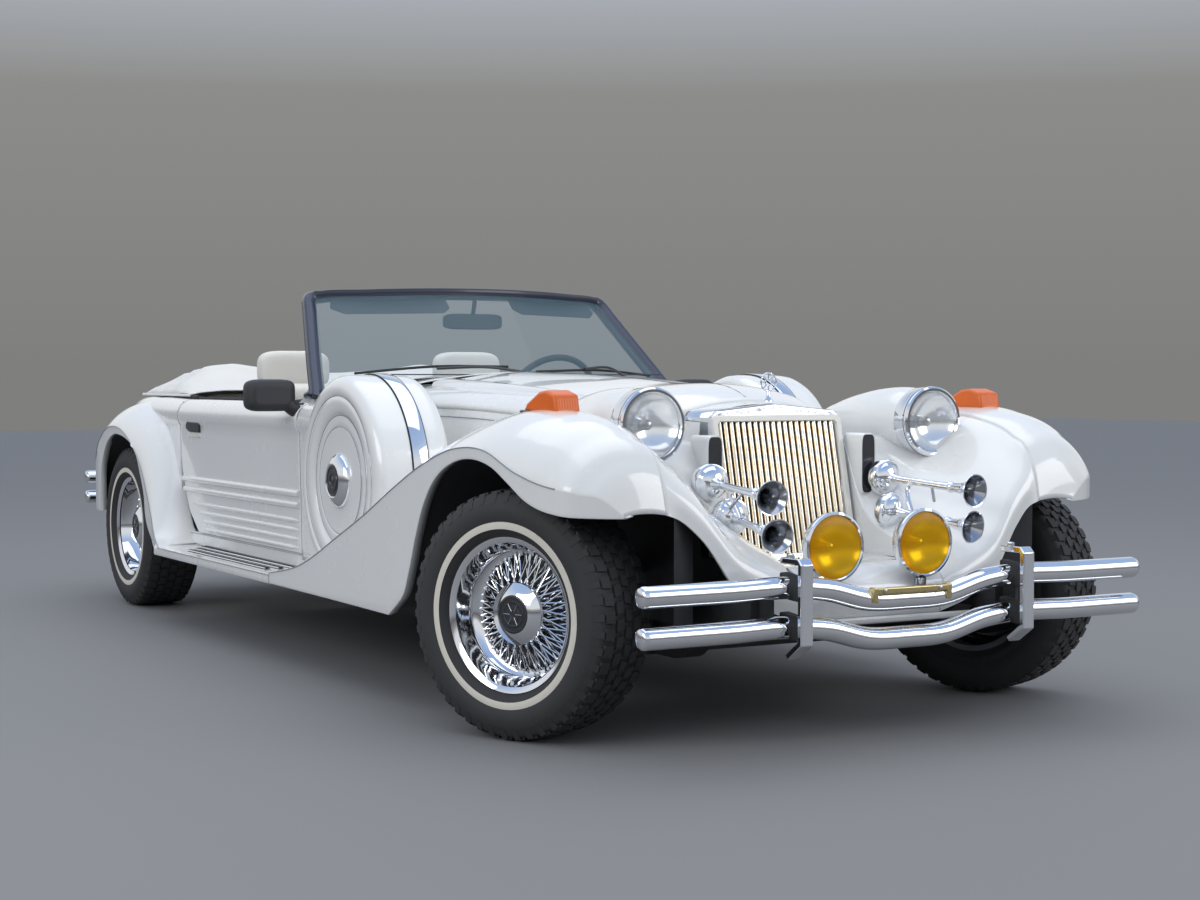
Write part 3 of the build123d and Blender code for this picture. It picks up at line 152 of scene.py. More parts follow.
def hermite(rows, t):
    """Smooth curve through table rows whose first column is the parameter."""
    r = np.array(rows, float)
    x, y = r[:, 0], r[:, 1:]
    d = np.gradient(y, x, axis=0)
    t = np.clip(np.atleast_1d(np.array(t, float)), x[0], x[-1])
    i = np.clip(np.searchsorted(x, t) - 1, 0, len(x) - 2)
    h = (x[i + 1] - x[i])[:, None]
    s = ((t - x[i]) / (x[i + 1] - x[i]))[:, None]
    return ((2 * s**3 - 3 * s**2 + 1) * y[i] + (s**3 - 2 * s**2 + s) * h * d[i]
            + (3 * s**2 - 2 * s**3) * y[i + 1] + (s**3 - s**2) * h * d[i + 1])


def smooth_path(points, n):
    """n points, evenly spaced, on a smooth curve through the given ones."""
    p = np.array(points, float)
    run = np.concatenate([[0], np.cumsum(np.linalg.norm(np.diff(p, axis=0), axis=1))])
    dense = hermite(np.column_stack([run, p]), np.linspace(0, run[-1], n * 8))
    walk = np.concatenate([[0], np.cumsum(np.linalg.norm(np.diff(dense, axis=0), axis=1))])
    t = np.linspace(0, walk[-1], n)
    return np.column_stack([np.interp(t, walk, dense[:, k]) for k in range(p.shape[1])])


def arc3(a, b, c, n):
    """n points on the circle through three points in a plane, from a over b to c."""
    (ax, ay), (bx, by), (cx, cy) = a, b, c
    d = 2 * (ax * (by - cy) + bx * (cy - ay) + cx * (ay - by))
    if abs(d) < 1e-6:
        return np.column_stack([np.linspace(ax, cx, n), np.linspace(ay, cy, n)])
    ux = ((ax**2 + ay**2) * (by - cy) + (bx**2 + by**2) * (cy - ay) + (cx**2 + cy**2) * (ay - by)) / d
    uy = ((ax**2 + ay**2) * (cx - bx) + (bx**2 + by**2) * (ax - cx) + (cx**2 + cy**2) * (bx - ax)) / d
    r = math.hypot(ax - ux, ay - uy)
    t0, t1, t2 = (math.atan2(q - uy, p - ux) for p, q in (a, b, c))
    sweep = (t2 - t0) % TURN
    if (t1 - t0) % TURN >= sweep:
        sweep -= TURN
    t = t0 + np.linspace(0, sweep, n)
    return np.column_stack([ux + r * np.cos(t), uy + r * np.sin(t)])


def bulge(v, power):
    """A sine or cosine, pushed out towards plus or minus one."""
    return math.copysign(abs(v) ** power, v)


def soft_ring(x, y, z, width, height, power_x, power_z, n):
    """A ring across the car, like a rectangle with soft corners; width and height are half its size."""
    return [(x + width * bulge(math.cos(t), power_x), y, z + height * bulge(math.sin(t), power_z))
            for t in np.linspace(0, TURN, n + 1)[:-1]]


def crowned(half, middle_z, y):
    """A cross section of the car from its left half and the arc that goes on over the middle."""
    x, z = half[-1]
    top = arc3((x, z), (0, middle_z), (-x, z), 41)
    return [(p, y, q) for p, q in [*half, *top[1:-1], *((-p, q) for p, q in half[::-1])]]


# Pieces

def mesh(name, verts, faces, mats, sharp=38):
    """A smooth mesh with hard edges where its faces turn by more than sharp degrees."""
    me = bpy.data.meshes.new(name)
    me.from_pydata([tuple(map(float, v)) for v in verts], [], [tuple(int(i) for i in f) for f in faces])
    me.validate()
    me.shade_smooth()
    if sharp:
        me.set_sharp_from_angle(angle=rad(sharp))
    for m in mats:
        me.materials.append(m)
    return me


def make(name, verts, faces, mat, body="car_body", sharp=38, replaces=(), mods=()):
    ob = bpy.data.objects.new(name, mesh(name, verts, faces, [mat], sharp))
    bpy.context.scene.collection.objects.link(ob)
    for kind, values in mods:
        modifier = ob.modifiers.new(kind.lower(), kind)
        for key, value in values.items():
            setattr(modifier, key, value)
    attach(ob, body)
    if replaces:
        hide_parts(*replaces)
    return ob


def rounded(width=4, segments=3):
    return [("BEVEL", {"width": width / 1000, "segments": segments, "limit_method": "ANGLE",
                       "angle_limit": rad(40)})]


def thick(depth, offset=-1):
    return [("SOLIDIFY", {"thickness": depth / 1000, "offset": offset})]


def nodes_for(side, names):
    """CAD nodes that one side's piece replaces: * is the side, and a node of both goes with the left."""
    return [n.replace("*", side) for n in names if "*" in n or side == "left"]


def pair(build, name, *args, body="car_body", replaces=(), **kw):
    """A piece on the car's left, and its mirror image on the right."""
    for side, sg in SIDES:
        build(f"{name}_{side}", *args, sg=sg, body=body.replace("*", side),
              replaces=nodes_for(side, replaces), **kw)


def mirrored(pts, sg):
    q = np.array(pts, float)
    q[..., 0] *= sg
    return q


def skin(name, pts, mat, flip=False, closed=False, sg=1, **kw):
    """A surface over rows of points in mm; closed joins each row's end to its start."""
    pts = mirrored(pts, sg)
    rows, n = pts.shape[:2]
    faces = []
    for i in range(rows - 1):
        for j in range(n if closed else n - 1):
            k = (j + 1) % n
            a, b, c, d = i * n + j, (i + 1) * n + j, (i + 1) * n + k, i * n + k
            faces.append((a, d, c, b) if flip != (sg < 0) else (a, b, c, d))
    return make(name, [at(*v) for v in pts.reshape(-1, 3)], faces, mat, **kw)


def plate(name, ring, mat, flip=False, sg=1, **kw):
    """One flat face inside a ring of points in mm."""
    face = tuple(range(len(ring)))
    return make(name, [at(*q) for q in mirrored(ring, sg)], [face[::-1] if flip else face], mat, **kw)


def join(parts):
    verts, faces = [], []
    for v, f in parts:
        faces += [tuple(i + len(verts) for i in g) for g in f]
        verts += [tuple(q) for q in v]
    return verts, faces


def pointing(origin, direction):
    """Matrix whose local X runs along a direction, at an origin in metres."""
    x = Vector(direction).normalized()
    up = Vector(UP) if abs(x.z) < 0.95 else Vector(ASTERN)
    y = up.cross(x).normalized()
    m = Matrix((x, y, x.cross(y))).transposed().to_4x4()
    m.translation = Vector(origin)
    return m


def lathe(profile, n, place=Matrix.Identity(4)):
    """Verts and faces turned about local X; the profile is (along, radius) in mm."""
    p = np.array(profile, float) / 1000
    verts = [place @ Vector((x, r * math.cos(a), r * math.sin(a)))
             for a in TURN * np.arange(n) / n for x, r in p]
    m = len(p)
    faces = []
    for k in range(n):
        for j in range(m - 1):
            a, b = k * m + j, ((k + 1) % n) * m + j
            faces.append((a, a + 1, b + 1, b))
    return verts, faces


def turned(name, profile, origin, direction, mat, n=72, sg=1, **kw):
    (x, y, z), (dx, dy, dz) = origin, direction
    v, f = lathe(profile, n, pointing(at(sg * x, y, z), (sg * dx, dy, dz)))
    return make(name, v, f, mat, **kw)


def turned_pairs(origin, direction, *pieces):
    """Turned pieces on one axis: name, profile, finish, facets, and the CAD node replaced, if any."""
    for name, profile, mat, n, *nodes in pieces:
        pair(turned, name, profile, origin, direction, mat, n=n, replaces=nodes)


def tube_mesh(path, r, n=20, caps=True):
    """Round bar along points in metres; r is one radius, or one for each point."""
    p = np.array(path, float)
    m = len(p)
    t = np.gradient(p, axis=0)
    t /= np.linalg.norm(t, axis=1)[:, None]
    up = np.array([0, 0, 1.0]) if abs(t[0][2]) < 0.9 else np.array([0, 1.0, 0])
    verts = []
    for centre, along, radius in zip(p, t, np.broadcast_to(r, m)):
        across = np.cross(up, along)
        across /= np.linalg.norm(across)
        up = np.cross(along, across)
        for a in TURN * np.arange(n) / n:
            verts.append(centre + radius * (math.cos(a) * across + math.sin(a) * up))
    faces = []
    for i in range(m - 1):
        for k in range(n):
            faces.append((i * n + k, i * n + (k + 1) % n, (i + 1) * n + (k + 1) % n, (i + 1) * n + k))
    if caps:
        faces += [tuple(range(n))[::-1], tuple(range((m - 1) * n, m * n))]
    return verts, faces


def tube(name, pts, r, mat, n=20, smooth=0, sharp=60, sg=1, **kw):
    """A bar of radius r through points in mm, on a smooth curve of as many points as smooth says."""
    pts = mirrored(pts, sg)
    pts = smooth_path(pts, smooth) if smooth else pts
    v, f = tube_mesh([at(*q) for q in pts], np.array(r) / 1000, n)
    return make(name, v, f, mat, sharp=sharp, **kw)


def stripe(name, pts, r=1.6, mat=STRIPE, sides=SIDES, body="car_body"):
    """A painted line on one side or both, as a thin bead along points in mm."""
    v, f = join([tube_mesh([at(*q) for q in mirrored(pts, sg)], r / 1000, 6) for _, sg in sides])
    return make(name, v, f, mat, body=body)


def prism_faces(n):
    return [tuple(range(n)), tuple(range(n, 2 * n))[::-1],
            *((i, i + n, (i + 1) % n + n, (i + 1) % n) for i in range(n))]


def slab_mesh(outline, x0, x1):
    """Prism between x0 and x1 of a side-view outline of (y, z), mm."""
    return [at(x, y, z) for x in (x0, x1) for y, z in outline], prism_faces(len(outline))


def slab(name, outline, x0, x1, mat, bevel=(), sg=1, **kw):
    """A slab; bevel is the width of its rounded edges in mm and their segments."""
    v, f = slab_mesh(outline, sg * x0, sg * x1)
    return make(name, v, f, mat, mods=rounded(*bevel) if bevel else (), **kw)


def slabs_both_sides(name, outlines, x, half, mat, bevel, **kw):
    """One piece of the same slabs on both sides of the car, centred on x."""
    v, f = join([slab_mesh(o, sg * x - half, sg * x + half) for sg in (-1, 1) for o in outlines])
    return make(name, v, f, mat, mods=rounded(*bevel), **kw)


def block_mesh(x0, y0, z0, x1, y1, z1):
    return slab_mesh([(y0, z0), (y1, z0), (y1, z1), (y0, z1)], x0, x1)


def blocks(name, boxes, mat, width=4, sg=1, **kw):
    """Boxes with rounded edges, each from its lowest to its highest corner."""
    if sg < 0:
        boxes = [(-x1, y0, z0, -x0, y1, z1) for x0, y0, z0, x1, y1, z1 in boxes]
    v, f = join([block_mesh(*b) for b in boxes])
    return make(name, v, f, mat, mods=rounded(width), sharp=50, **kw)


# Front wings
WING = [
    # y, outer x, crest z, crown x, crown z, inner x, inner z
    (-366, 742, 606, 700, 611, 617, 606), (-352, 790, 646, 705, 680, 617, 666),
    (-322, 846, 664, 695, 750, 617, 734), (-245, 886, 676, 690, 812, 617, 788),
    (-110, 910, 706, 695, 856, 617, 832), (66, 920, 762, 700, 868, 617, 842),
    (244, 922, 760, 700, 856, 480, 806), (438, 922, 712, 698, 812, 300, 736),
    (644, 921, 636, 690, 735, 340, 672), (865, 916, 547, 690, 628, 400, 590),
    (1080, 912, 468, 700, 524, 430, 500), (1440, 908, 344, 720, 372, 480, 368),
    (1726, 905, 296, 740, 302, 574, 300),
]
ARCH = smooth_path([(-420, 596), (-366, 600), (-230, 612), (-140, 638), (-60, 680), (20, 716), (120, 734),
                    (244, 723), (370, 668), (438, 600), (492, 506), (540, 400), (581, 330), (640, 290),
                    (683, 266)], 120)
SILL = 262
CREST = 15                                      # the crest's place in a wing's cross section


def stations(arch_y, *runs):
    """Where a wing's cross sections stand: at its arch's points, and evenly along the runs beside it."""
    return sorted(set(arch_y.round(2)).union(*(np.linspace(*run).round(2) for run in runs)))


def wing_rows(table, arch, columns, crown_n, low_ahead=SILL, low_behind=SILL):
    """Wing cross sections: an inner lip, a flank down to the wheel arch or lower edge, and a crown arc."""
    out = []
    for y, (ox, cz, mx, mz, ix, iz) in zip(columns, hermite(table, columns)):
        low = min(float(np.interp(y, arch[:, 0], arch[:, 1], low_ahead, low_behind)), cz - 3)
        col = [(ox - 26, y, low + 5), (ox - 6, y, low), (ox - 1.5, y, low + 1.5), (ox, y, low + 6)]
        col += [(ox, y, low + 6 + (cz - low - 6) * k / 12) for k in range(1, 13)]
        out.append(col + [(a, y, b) for a, b in arc3((ox, cz), (mx, mz), (ix, iz), crown_n)[1:]])
    return out


def crest_line(rows, y0, y1):
    return [(x + 0.6, y, z) for x, y, z in (row[CREST] for row in rows) if y0 < y < y1]


columns = stations(ARCH[ARCH[:, 0] > -366, 0], (-366, -300, 14), (690, 1726, 60))
wing = wing_rows(WING, ARCH, columns, 26)
pair(skin, "wing_front", wing, WHITE, replaces=["front_fender_*"], sharp=34, mods=thick(5))
stripe("stripe_wing", crest_line(wing, -262, 1720), 1.8)

# Valley between wing crown and hood side
valley_y = np.linspace(58, 1566, 50)
hood_x = hermite([(70, 243), (192, 246), (620, 386), (1080, 456), (1566, 500)], valley_y)[:, 0]
foot_z = np.interp(valley_y, [58, 438, 1080, 1566], [700, 690, 480, 350])
valley = []
for y, hx, fz, (*_, ix, iz) in zip(valley_y, hood_x, foot_z, hermite(WING, valley_y)):
    valley.append([(ix + 4 + (hx - ix - 4) * k, y, iz - 2 + (min(fz, iz - 4) - iz) * k ** 1.2)
                   for k in np.linspace(0, 1, 10)])
pair(skin, "wing_valley", valley, WHITE)

# Front apron between the wings
SHELL_X, WING_X = 232, 617                      # the grille shell's side and the wing's inner edge
APRON = [
    # x, then y and z of five points from the lower lip up
    (232, -402, 318, -413, 400, -352, 446, -72, 560, 36, 764),
    (330, -402, 350, -408, 436, -330, 500, -88, 616, 50, 782),
    (418, -400, 400, -400, 480, -300, 566, -122, 664, 60, 786),
    (520, -382, 540, -376, 602, -286, 690, -118, 742, 60, 802),
    (580, -368, 592, -362, 648, -256, 752, -112, 806, 61, 828),
    (617, -366, 606, -352, 668, -245, 788, -110, 832, 62, 842),
]


def side_curve(row, n):
    """Smooth curve of n points through the y and z pairs of a row."""
    return smooth_path(np.column_stack([row[0::2], row[1::2]]), n)


apron_x = np.linspace(SHELL_X, WING_X, 44)
apron_rows = hermite(APRON, apron_x)
# the seam is drawn onto the wing's inner edge
seam = side_curve(apron_rows[-1], 44)
drop = np.where(seam[:, 0] > -365, hermite(WING, seam[:, 0])[:, 5] - seam[:, 1], 0)
apron = []
for x, row in zip(apron_x, apron_rows):
    q = side_curve(row, 44)
    q[:, 1] += drop * max(0, (x - 560) / (WING_X - 560)) ** 2
    lip = [(x, q[0][0] + 24, q[0][1] + 10), (x, q[0][0] + 5, q[0][1] - 1)]
    apron.append(lip + [(x, a, b) for a, b in q])
pair(skin, "front_panel", apron, WHITE, sharp=40, mods=thick(5, 1), flip=True, replaces=["front_apron"])
shelf = []
for x in np.linspace(-SHELL_X, SHELL_X, 31):
    k = abs(x) / SHELL_X
    q = smooth_path([(-400, 316 + 2 * k), (-413, 396 + 8 * k), (-372, 438 + 4 * k), (-220, 446 + 4 * k),
                     (-40, 450 + 4 * k)], 30)
    shelf.append([(x, -376, 322), (x, -395, 315)] + [(x, a, b) for a, b in q])
skin("front_shelf", shelf, WHITE, sharp=40, flip=True)
wall = [[(SHELL_X, y, z), (SHELL_X, y, 452 if y > -350 else z)]
        for y, z in side_curve(apron_rows[0], 30)[8:]]
pair(skin, "shell_side_wall", wall, WHITE)
# upright dark inlets beside the grille, each in a frame let into the panel
inlet = [soft_ring(262, y, 706, w, h, 0.42, 0.3, 48)
         for y, w, h in ((44, 27, 88), (-38, 27, 88), (-43, 25, 86), (-43, 23, 84), (-40, 22, 83))]
pair(skin, "inlet_frame", inlet, WHITE, closed=True, sharp=40, flip=True)
pair(plate, "inlet", soft_ring(262, -41, 706, 23, 84, 0.42, 0.3, 48), BLACK)

# Hood
HOOD = [
    # y, ridge half, ridge z, edge half, edge z, centre z
    (176, 200, 858, 222, 836, 884), (192, 205, 866, 226, 838, 892), (620, 315, 888, 380, 842, 938),
    (1080, 380, 906, 448, 862, 962), (1560, 412, 920, 486, 868, 974),
]
HOOD_SIDE = [
    # y, top x, top z, foot x, foot z
    (70, 240, 828, 246, 600), (192, 243, 832, 262, 590), (620, 378, 830, 410, 560),
    (1080, 446, 850, 500, 400), (1566, 484, 856, 556, 262),
]
hood_y = np.linspace(176, 1560, 60)
hood = []
for y, (rx, rz, ex, ez, mz) in zip(hood_y, hermite(HOOD, hood_y)):
    shoulder = arc3((ex, ez), ((rx + ex) / 2 + 7, (rz + ez) / 2 + 9), (rx, rz), 10)
    hood.append(crowned([(ex - 1, ez - 14), *shoulder], mz, y))
skin("hood_panel", hood, WHITE, body="hood", replaces=["hood"], sharp=34, mods=thick(5))
# raised flutes along the hood's ridges
flute = []
for y in np.linspace(560, 1540, 40):
    rx, rz, _, _, mz = hermite(HOOD, [y])[0]
    k = (y - 560) / 980
    w = 3 + 34 * k
    h = 2 + 12 * math.sin(min(1, k * 1.4) * math.pi / 2)
    c = rx - 26 - w
    ridge = ((c - w, -2), (c - w * 0.8, h * 0.8), (c, h), (c + w * 0.8, h * 0.8), (c + w, -2))
    flute.append([(x, y, rz + (mz - rz) * (1 - (x / rx) ** 2) + rise) for x, rise in ridge])
pair(skin, "hood_flute", flute, WHITE, body="hood", sharp=80, flip=True)
stripe("hood_seam", [(1, y, hermite(HOOD, [y])[0][4] + 0.4) for y in np.linspace(200, 1550, 30)], 0.8, GAP,
       SIDES[:1], "hood")
side_y = np.linspace(70, 1566, 50)
hood_side = [[(tx + (lx - tx) * k + 4 * math.sin(math.pi * k), y, tz + (lz - tz) * k)
              for k in np.linspace(0, 1, 12)]
             for y, (tx, tz, lx, lz) in zip(side_y, hermite(HOOD_SIDE, side_y))]
pair(skin, "hood_side_panel", hood_side, WHITE, flip=True, replaces=["hood_sides"])
line_y = np.linspace(640, 1500, 24)
line = [(tx + 6, y, tz - 26) for y, (tx, tz, *_) in zip(line_y, hermite(HOOD_SIDE, line_y))]
stripe("hood_side_line", line, 1.5)

# Headlamps on their pods, fog lamps, turn signals
pod = smooth_path([(0, 96), (-60, 100), (-150, 97), (-260, 82), (-380, 55), (-470, 24), (-500, 1)], 40)
turned_pairs(
    (477, -11, 825), AHEAD,
    ("pod", pod, WHITE, 80, "headlamp_pods"),
    ("headlamp_drum", [(-6, 97), (0, 100), (30, 101), (44, 101), (50, 103), (56, 102), (60, 97), (60, 90),
                       (55, 86), (50, 84)], CHROME, 96, "lamp_shells"),
    ("headlamp_ring", [(43, 101.5), (45, 102.5), (47, 101.5)], RUBBER, 96),
    ("headlamp_bowl", [(50, 84), (40, 78), (22, 60), (8, 36), (2, 14), (2, 0.1)], BULB, 64),
    ("headlamp_bulb", [(4, 14), (30, 13), (36, 9), (38, 0.1)], CHROME_DARK, 32),
    ("headlamp_lens", [(52, 85), (58, 72), (64, 50), (68, 25), (69, 0.1)], LENS, 64, "headlamp_lenses"))
turned_pairs(
    (148, -440, 511), AHEAD,
    ("fog_shell", [(-84, 0.1), (-80, 24), (-66, 52), (-44, 76), (-18, 90), (-4, 93), (2, 92), (5, 86),
                   (2, 83)],
     CHROME, 72),
    ("fog_bowl", [(0, 84), (-8, 80), (-26, 62), (-38, 38), (-42, 18), (-42, 12), (-20, 12), (-16, 8),
                  (-15, 0.1)],
     GOLD, 64),
    ("fog_lens", [(0, 84), (4, 74), (8, 50), (10, 25), (11, 0.1)], YELLOW, 64, "fog_lamp_lenses"))
turned_pairs((140, -432, 418), (0, 0, -1),
             ("fog_stud", [(0, 16), (26, 16), (28, 10), (28, 0.1)], CHROME_DARK, 24))
pair(blocks, "fog_clamp", [(128, -446, 396, 150, -418, 410), (128, -522, 384, 150, -424, 392)], CHROME_DARK)
for side, sg in SIDES:                          # amber wedges on dark bases
    slab(f"turn_signal_{side}", [(-40, 858), (-28, 908), (20, 920), (60, 916), (130, 884), (150, 862)],
         sg * 720 - 38, sg * 720 + 38, AMBER, (9, 4), replaces=nodes_for(side, ["turn_signals"]))
    slab(f"signal_base_{side}", [(-48, 846), (-48, 862), (160, 866), (160, 846)],
         sg * 720 - 43, sg * 720 + 43, BLACK, (4, 3))

# Grille shell, bezel and vanes
LEAN = rad(12.5)
SHELL_H = 412 / math.cos(LEAN)                  # along the leaning face


def on_face(x, h, depth):
    """Point of the grille's leaning face: h up along it, depth into the car."""
    return (x, -44 + math.sin(LEAN) * h + depth, 446 + math.cos(LEAN) * h)


def shell_ring(inset, depth):
    """Outline of the shell's face with its low peak, inset from its edge."""
    w, top = 224 - inset, SHELL_H - inset * 0.9
    pts = [(-w, inset * 0.6), (-w, top - 18), (-w + 8, top - 6), (-w + 22, top + 2)]
    pts += [(x, top + 2 + 20 * (1 - abs(x) / (w - 22))) for x in np.linspace(-w + 22, w - 22, 9)[1:-1]]
    pts += [(w - 22, top + 2), (w - 8, top - 6), (w, top - 18), (w, inset * 0.6)]
    return [on_face(x, h, depth) for x, h in pts]


def bezel_ring(inset, depth):
    """Square-topped outline round the vanes, open below, its corners cut."""
    w, top, cut = 224 - inset, SHELL_H - 9 - inset * 0.95, 8
    pts = [(-w, 10), (-w, top - cut), (-w + cut, top), (w - cut, top), (w, top - cut), (w, 10)]
    return [on_face(x, h, depth) for x, h in pts]


skin("grille_shell_cover", [shell_ring(*q) for q in ((0, 130), (0, 14), (3, 4), (8, 0), (20, 0), (24, 5))],
     CHROME, closed=True, sharp=30, replaces=["grille_shell"], flip=True)
skin("grille_bezel", [bezel_ring(*q) for q in ((2, 3), (3, -4), (6, -7), (19, -7), (22, -2), (22, 40))], LIP,
     sharp=30, flip=True)
header = []
for x in np.linspace(-222, 222, 41):
    peak = SHELL_H + 2 + 20 * (1 - min(1, abs(x) / 202)) - max(0, abs(x) - 202) * 0.9
    header.append([on_face(x, h, d) for h, d in ((SHELL_H - 16, 0), (peak - 3, 0), (peak, 6), (peak, 30))])
skin("grille_header", header, CHROME_DARK, sharp=40)
nose = []
for y in np.linspace(100, 182, 10):
    k = (y - 100) / 82
    shoulder = arc3((205 + 16 * k, 828 + 8 * k), (204, 846 + 4 * k), (190 + 10 * k, 852 + 6 * k), 8)
    nose.append(crowned(list(shoulder), 878 + 6 * k, y))
skin("hood_nose", nose, WHITE, body="hood", sharp=34)
VANES, VANE_SPAN = 20, 404
VANE_SECTION = ((-6.6, 14), (-6.2, 6), (-3.2, 1.4), (0, 0), (3.2, 1.4), (6.2, 6), (6.6, 14))     # x and depth
vanes = []
for i in range(VANES):
    x = -202 + VANE_SPAN / VANES * (i + 0.5)
    m = len(VANE_SECTION)
    vanes.append(([at(*on_face(x + dx, h, depth)) for h in (12, SHELL_H - 30) for dx, depth in VANE_SECTION],
                  [(k, k + 1, k + 1 + m, k + m) for k in range(m - 1)]))
make("grille_vanes", *join(vanes), VANE_CHROME_PAINTED_REFLECTION, sharp=50, replaces=["grille_bars"])
back = ((-204, 8), (204, 8), (204, SHELL_H - 24), (-204, SHELL_H - 24))
plate("grille_back", [on_face(x, h, 30) for x, h in back], BLACK, mods=thick(4))


# plain spoked ring on its foot
def ring_point(r, a):
    return at(r * math.cos(a), 84, 940 + r * math.sin(a))


ornament = [lathe([(0, 13), (6, 12), (12, 7), (30, 5)], 24, pointing(at(0, 84, 884), UP))]
for r, wire in ((26, 0.0026), (11, 0.0020)):
    ornament.append(tube_mesh([ring_point(r, a) for a in np.linspace(0, TURN, 41)], wire, 8, caps=False))
for k in range(8):
    ornament.append(tube_mesh([ring_point(r, math.pi / 4 * k) for r in (9, 26)], 0.0018, 6))
make("ring_ornament", *join(ornament), CHROME)

# Horns
for tag, foot, bell in (("upper", (296, -56, 668), (335, -422, 644)),
                        ("lower", (270, -120, 578), (323, -429, 545))):
    along = np.array(bell, float) - foot
    L = float(np.linalg.norm(along))
    horn = [(-12, 0.1), (-12, 34), (-8, 45), (-4, 47), (0, 47), (2, 51), (12, 53), (22, 53), (26, 51),
            (28, 46), (33, 43), (40, 38), (46, 26), (50, 17), (58, 13), (64, 13), (68, 11), (90, 10),
            (L - 150, 10.5), (L - 96, 12), (L - 92, 15.5), (L - 84, 15.5), (L - 80, 12.5), (L - 46, 17),
            (L - 24, 26), (L - 8, 38), (L, 46), (L + 2, 45.5), (L + 1, 42.5)]
    throat = [(L + 1, 42.5), (L - 8, 34), (L - 24, 22), (L - 46, 12), (L - 90, 6), (L - 110, 0.1)]
    pair(turned, f"horn_{tag}", horn, foot, along, CHROME, n=56, replaces=["horns"] if tag == "upper" else ())
    pair(turned, f"horn_throat_{tag}", throat, foot, along, CHROME_DARK, n=56)
pair(tube, "horn_hanger", [(305, -190, 664), (300, -176, 640), (292, -188, 612), (288, -208, 578)], 7, CHROME,
     smooth=16)
pair(tube, "horn_stay", [(314, -262, 655), (330, -250, 628), (344, -238, 606)], 4.5, CHROME_DARK, smooth=12)

# Bumpers
BUMPER_END, BUMPER_R = 807, 0.029
GUARD_X = 360


def dipped_path(z, dip=44):
    """The front tube's line, which dips in the middle."""
    half = [(-BUMPER_END, 0), (-560, 0), (-330, 0), (-260, 8), (-120, dip - 3)]
    line = half + [(0, dip)] + [(-x, d) for x, d in half[::-1]]
    return smooth_path([(x, -545, z - d) for x, d in line], 90)


def capped_tube(path, r):
    """A round bar with domed ends."""
    p = np.array(path, float)
    t0, t1 = (q / np.linalg.norm(q) for q in (p[0] - p[1], p[-1] - p[-2]))
    # distance from the end and radius, as parts of r
    dome = ((0, 0.1), (0.06, 0.72), (0.22, 0.93), (0.5, 1))
    q = [p[0] - t0 * r * s for s, _ in dome] + list(p[1:-1]) + [p[-1] - t1 * r * s for s, _ in dome[::-1]]
    radii = [r * k for _, k in dome]
    return tube_mesh(q, radii + [r] * (len(p) - 2) + radii[::-1], 40)


front_tubes = [capped_tube([at(*q) for q in dipped_path(z)], BUMPER_R) for z in (424, 324)]
make("bumper_tubes_front", *join(front_tubes), CHROME, sharp=60, replaces=["front_bumper"])
rear_tubes = [capped_tube([at(x, 4345, z) for x in np.linspace(-BUMPER_END, BUMPER_END, 12)], BUMPER_R)
              for z in (506, 416)]
make("bumper_tubes_rear", *join(rear_tubes), CHROME, sharp=60, replaces=["rear_bumper"])
slabs_both_sides("bumper_irons", (
    [(-520, 300), (-520, 440), (-440, 420), (-440, 330)],
    [(4235, 372), (4235, 440), (4345, 516), (4345, 400)]), 400, 6, CHASSIS, (2, 2))
slabs_both_sides("bumper_guard_straps", (
    [(-520, 486), (-520, 503), (-598, 503), (-614, 488), (-614, 286), (-556, 246), (-544, 258), (-598, 296),
     (-598, 486)],
    [(4324, 566), (4324, 582), (4398, 582), (4414, 568), (4414, 376), (4356, 338), (4344, 352), (4398, 388),
     (4398, 566)]), GUARD_X, 19, CHROME, (3, 4), replaces=["bumper_guards"], sharp=40)
slabs_both_sides("guard_rubbers", [
    [(outer, z - 30), (outer, z + 30), (inner, z + 40), (inner, z - 26)]
    for outer, inner, z in ((-597, -512, 424), (-597, -512, 324), (4397, 4312, 506), (4397, 4312, 416))],
    GUARD_X, 16, RUBBER, (6, 4), replaces=["guard_blocks"], sharp=40)
turned_pairs((GUARD_X, -540, 503), UP, ("guard_bolt", [(0, 11), (6, 11), (9, 7), (9, 0.1)], CHROME, 24))
blocks("plate_bracket", [(-125, -578, 398, 125, -560, 414), (-128, -580, 376, -112, -558, 416),
                         (112, -580, 376, 128, -558, 416)], BRASS, 3)
for k, x in enumerate((-90, 90)):
    turned(f"bracket_screw_{k}", [(0, 6), (3, 6), (4.5, 3), (4.5, 0.1)], (x, -578, 406), AHEAD, STEEL, n=20)
blocks("valance_bar", [(-330, -420, 300, 330, -404, 318)], WHITE, 6)

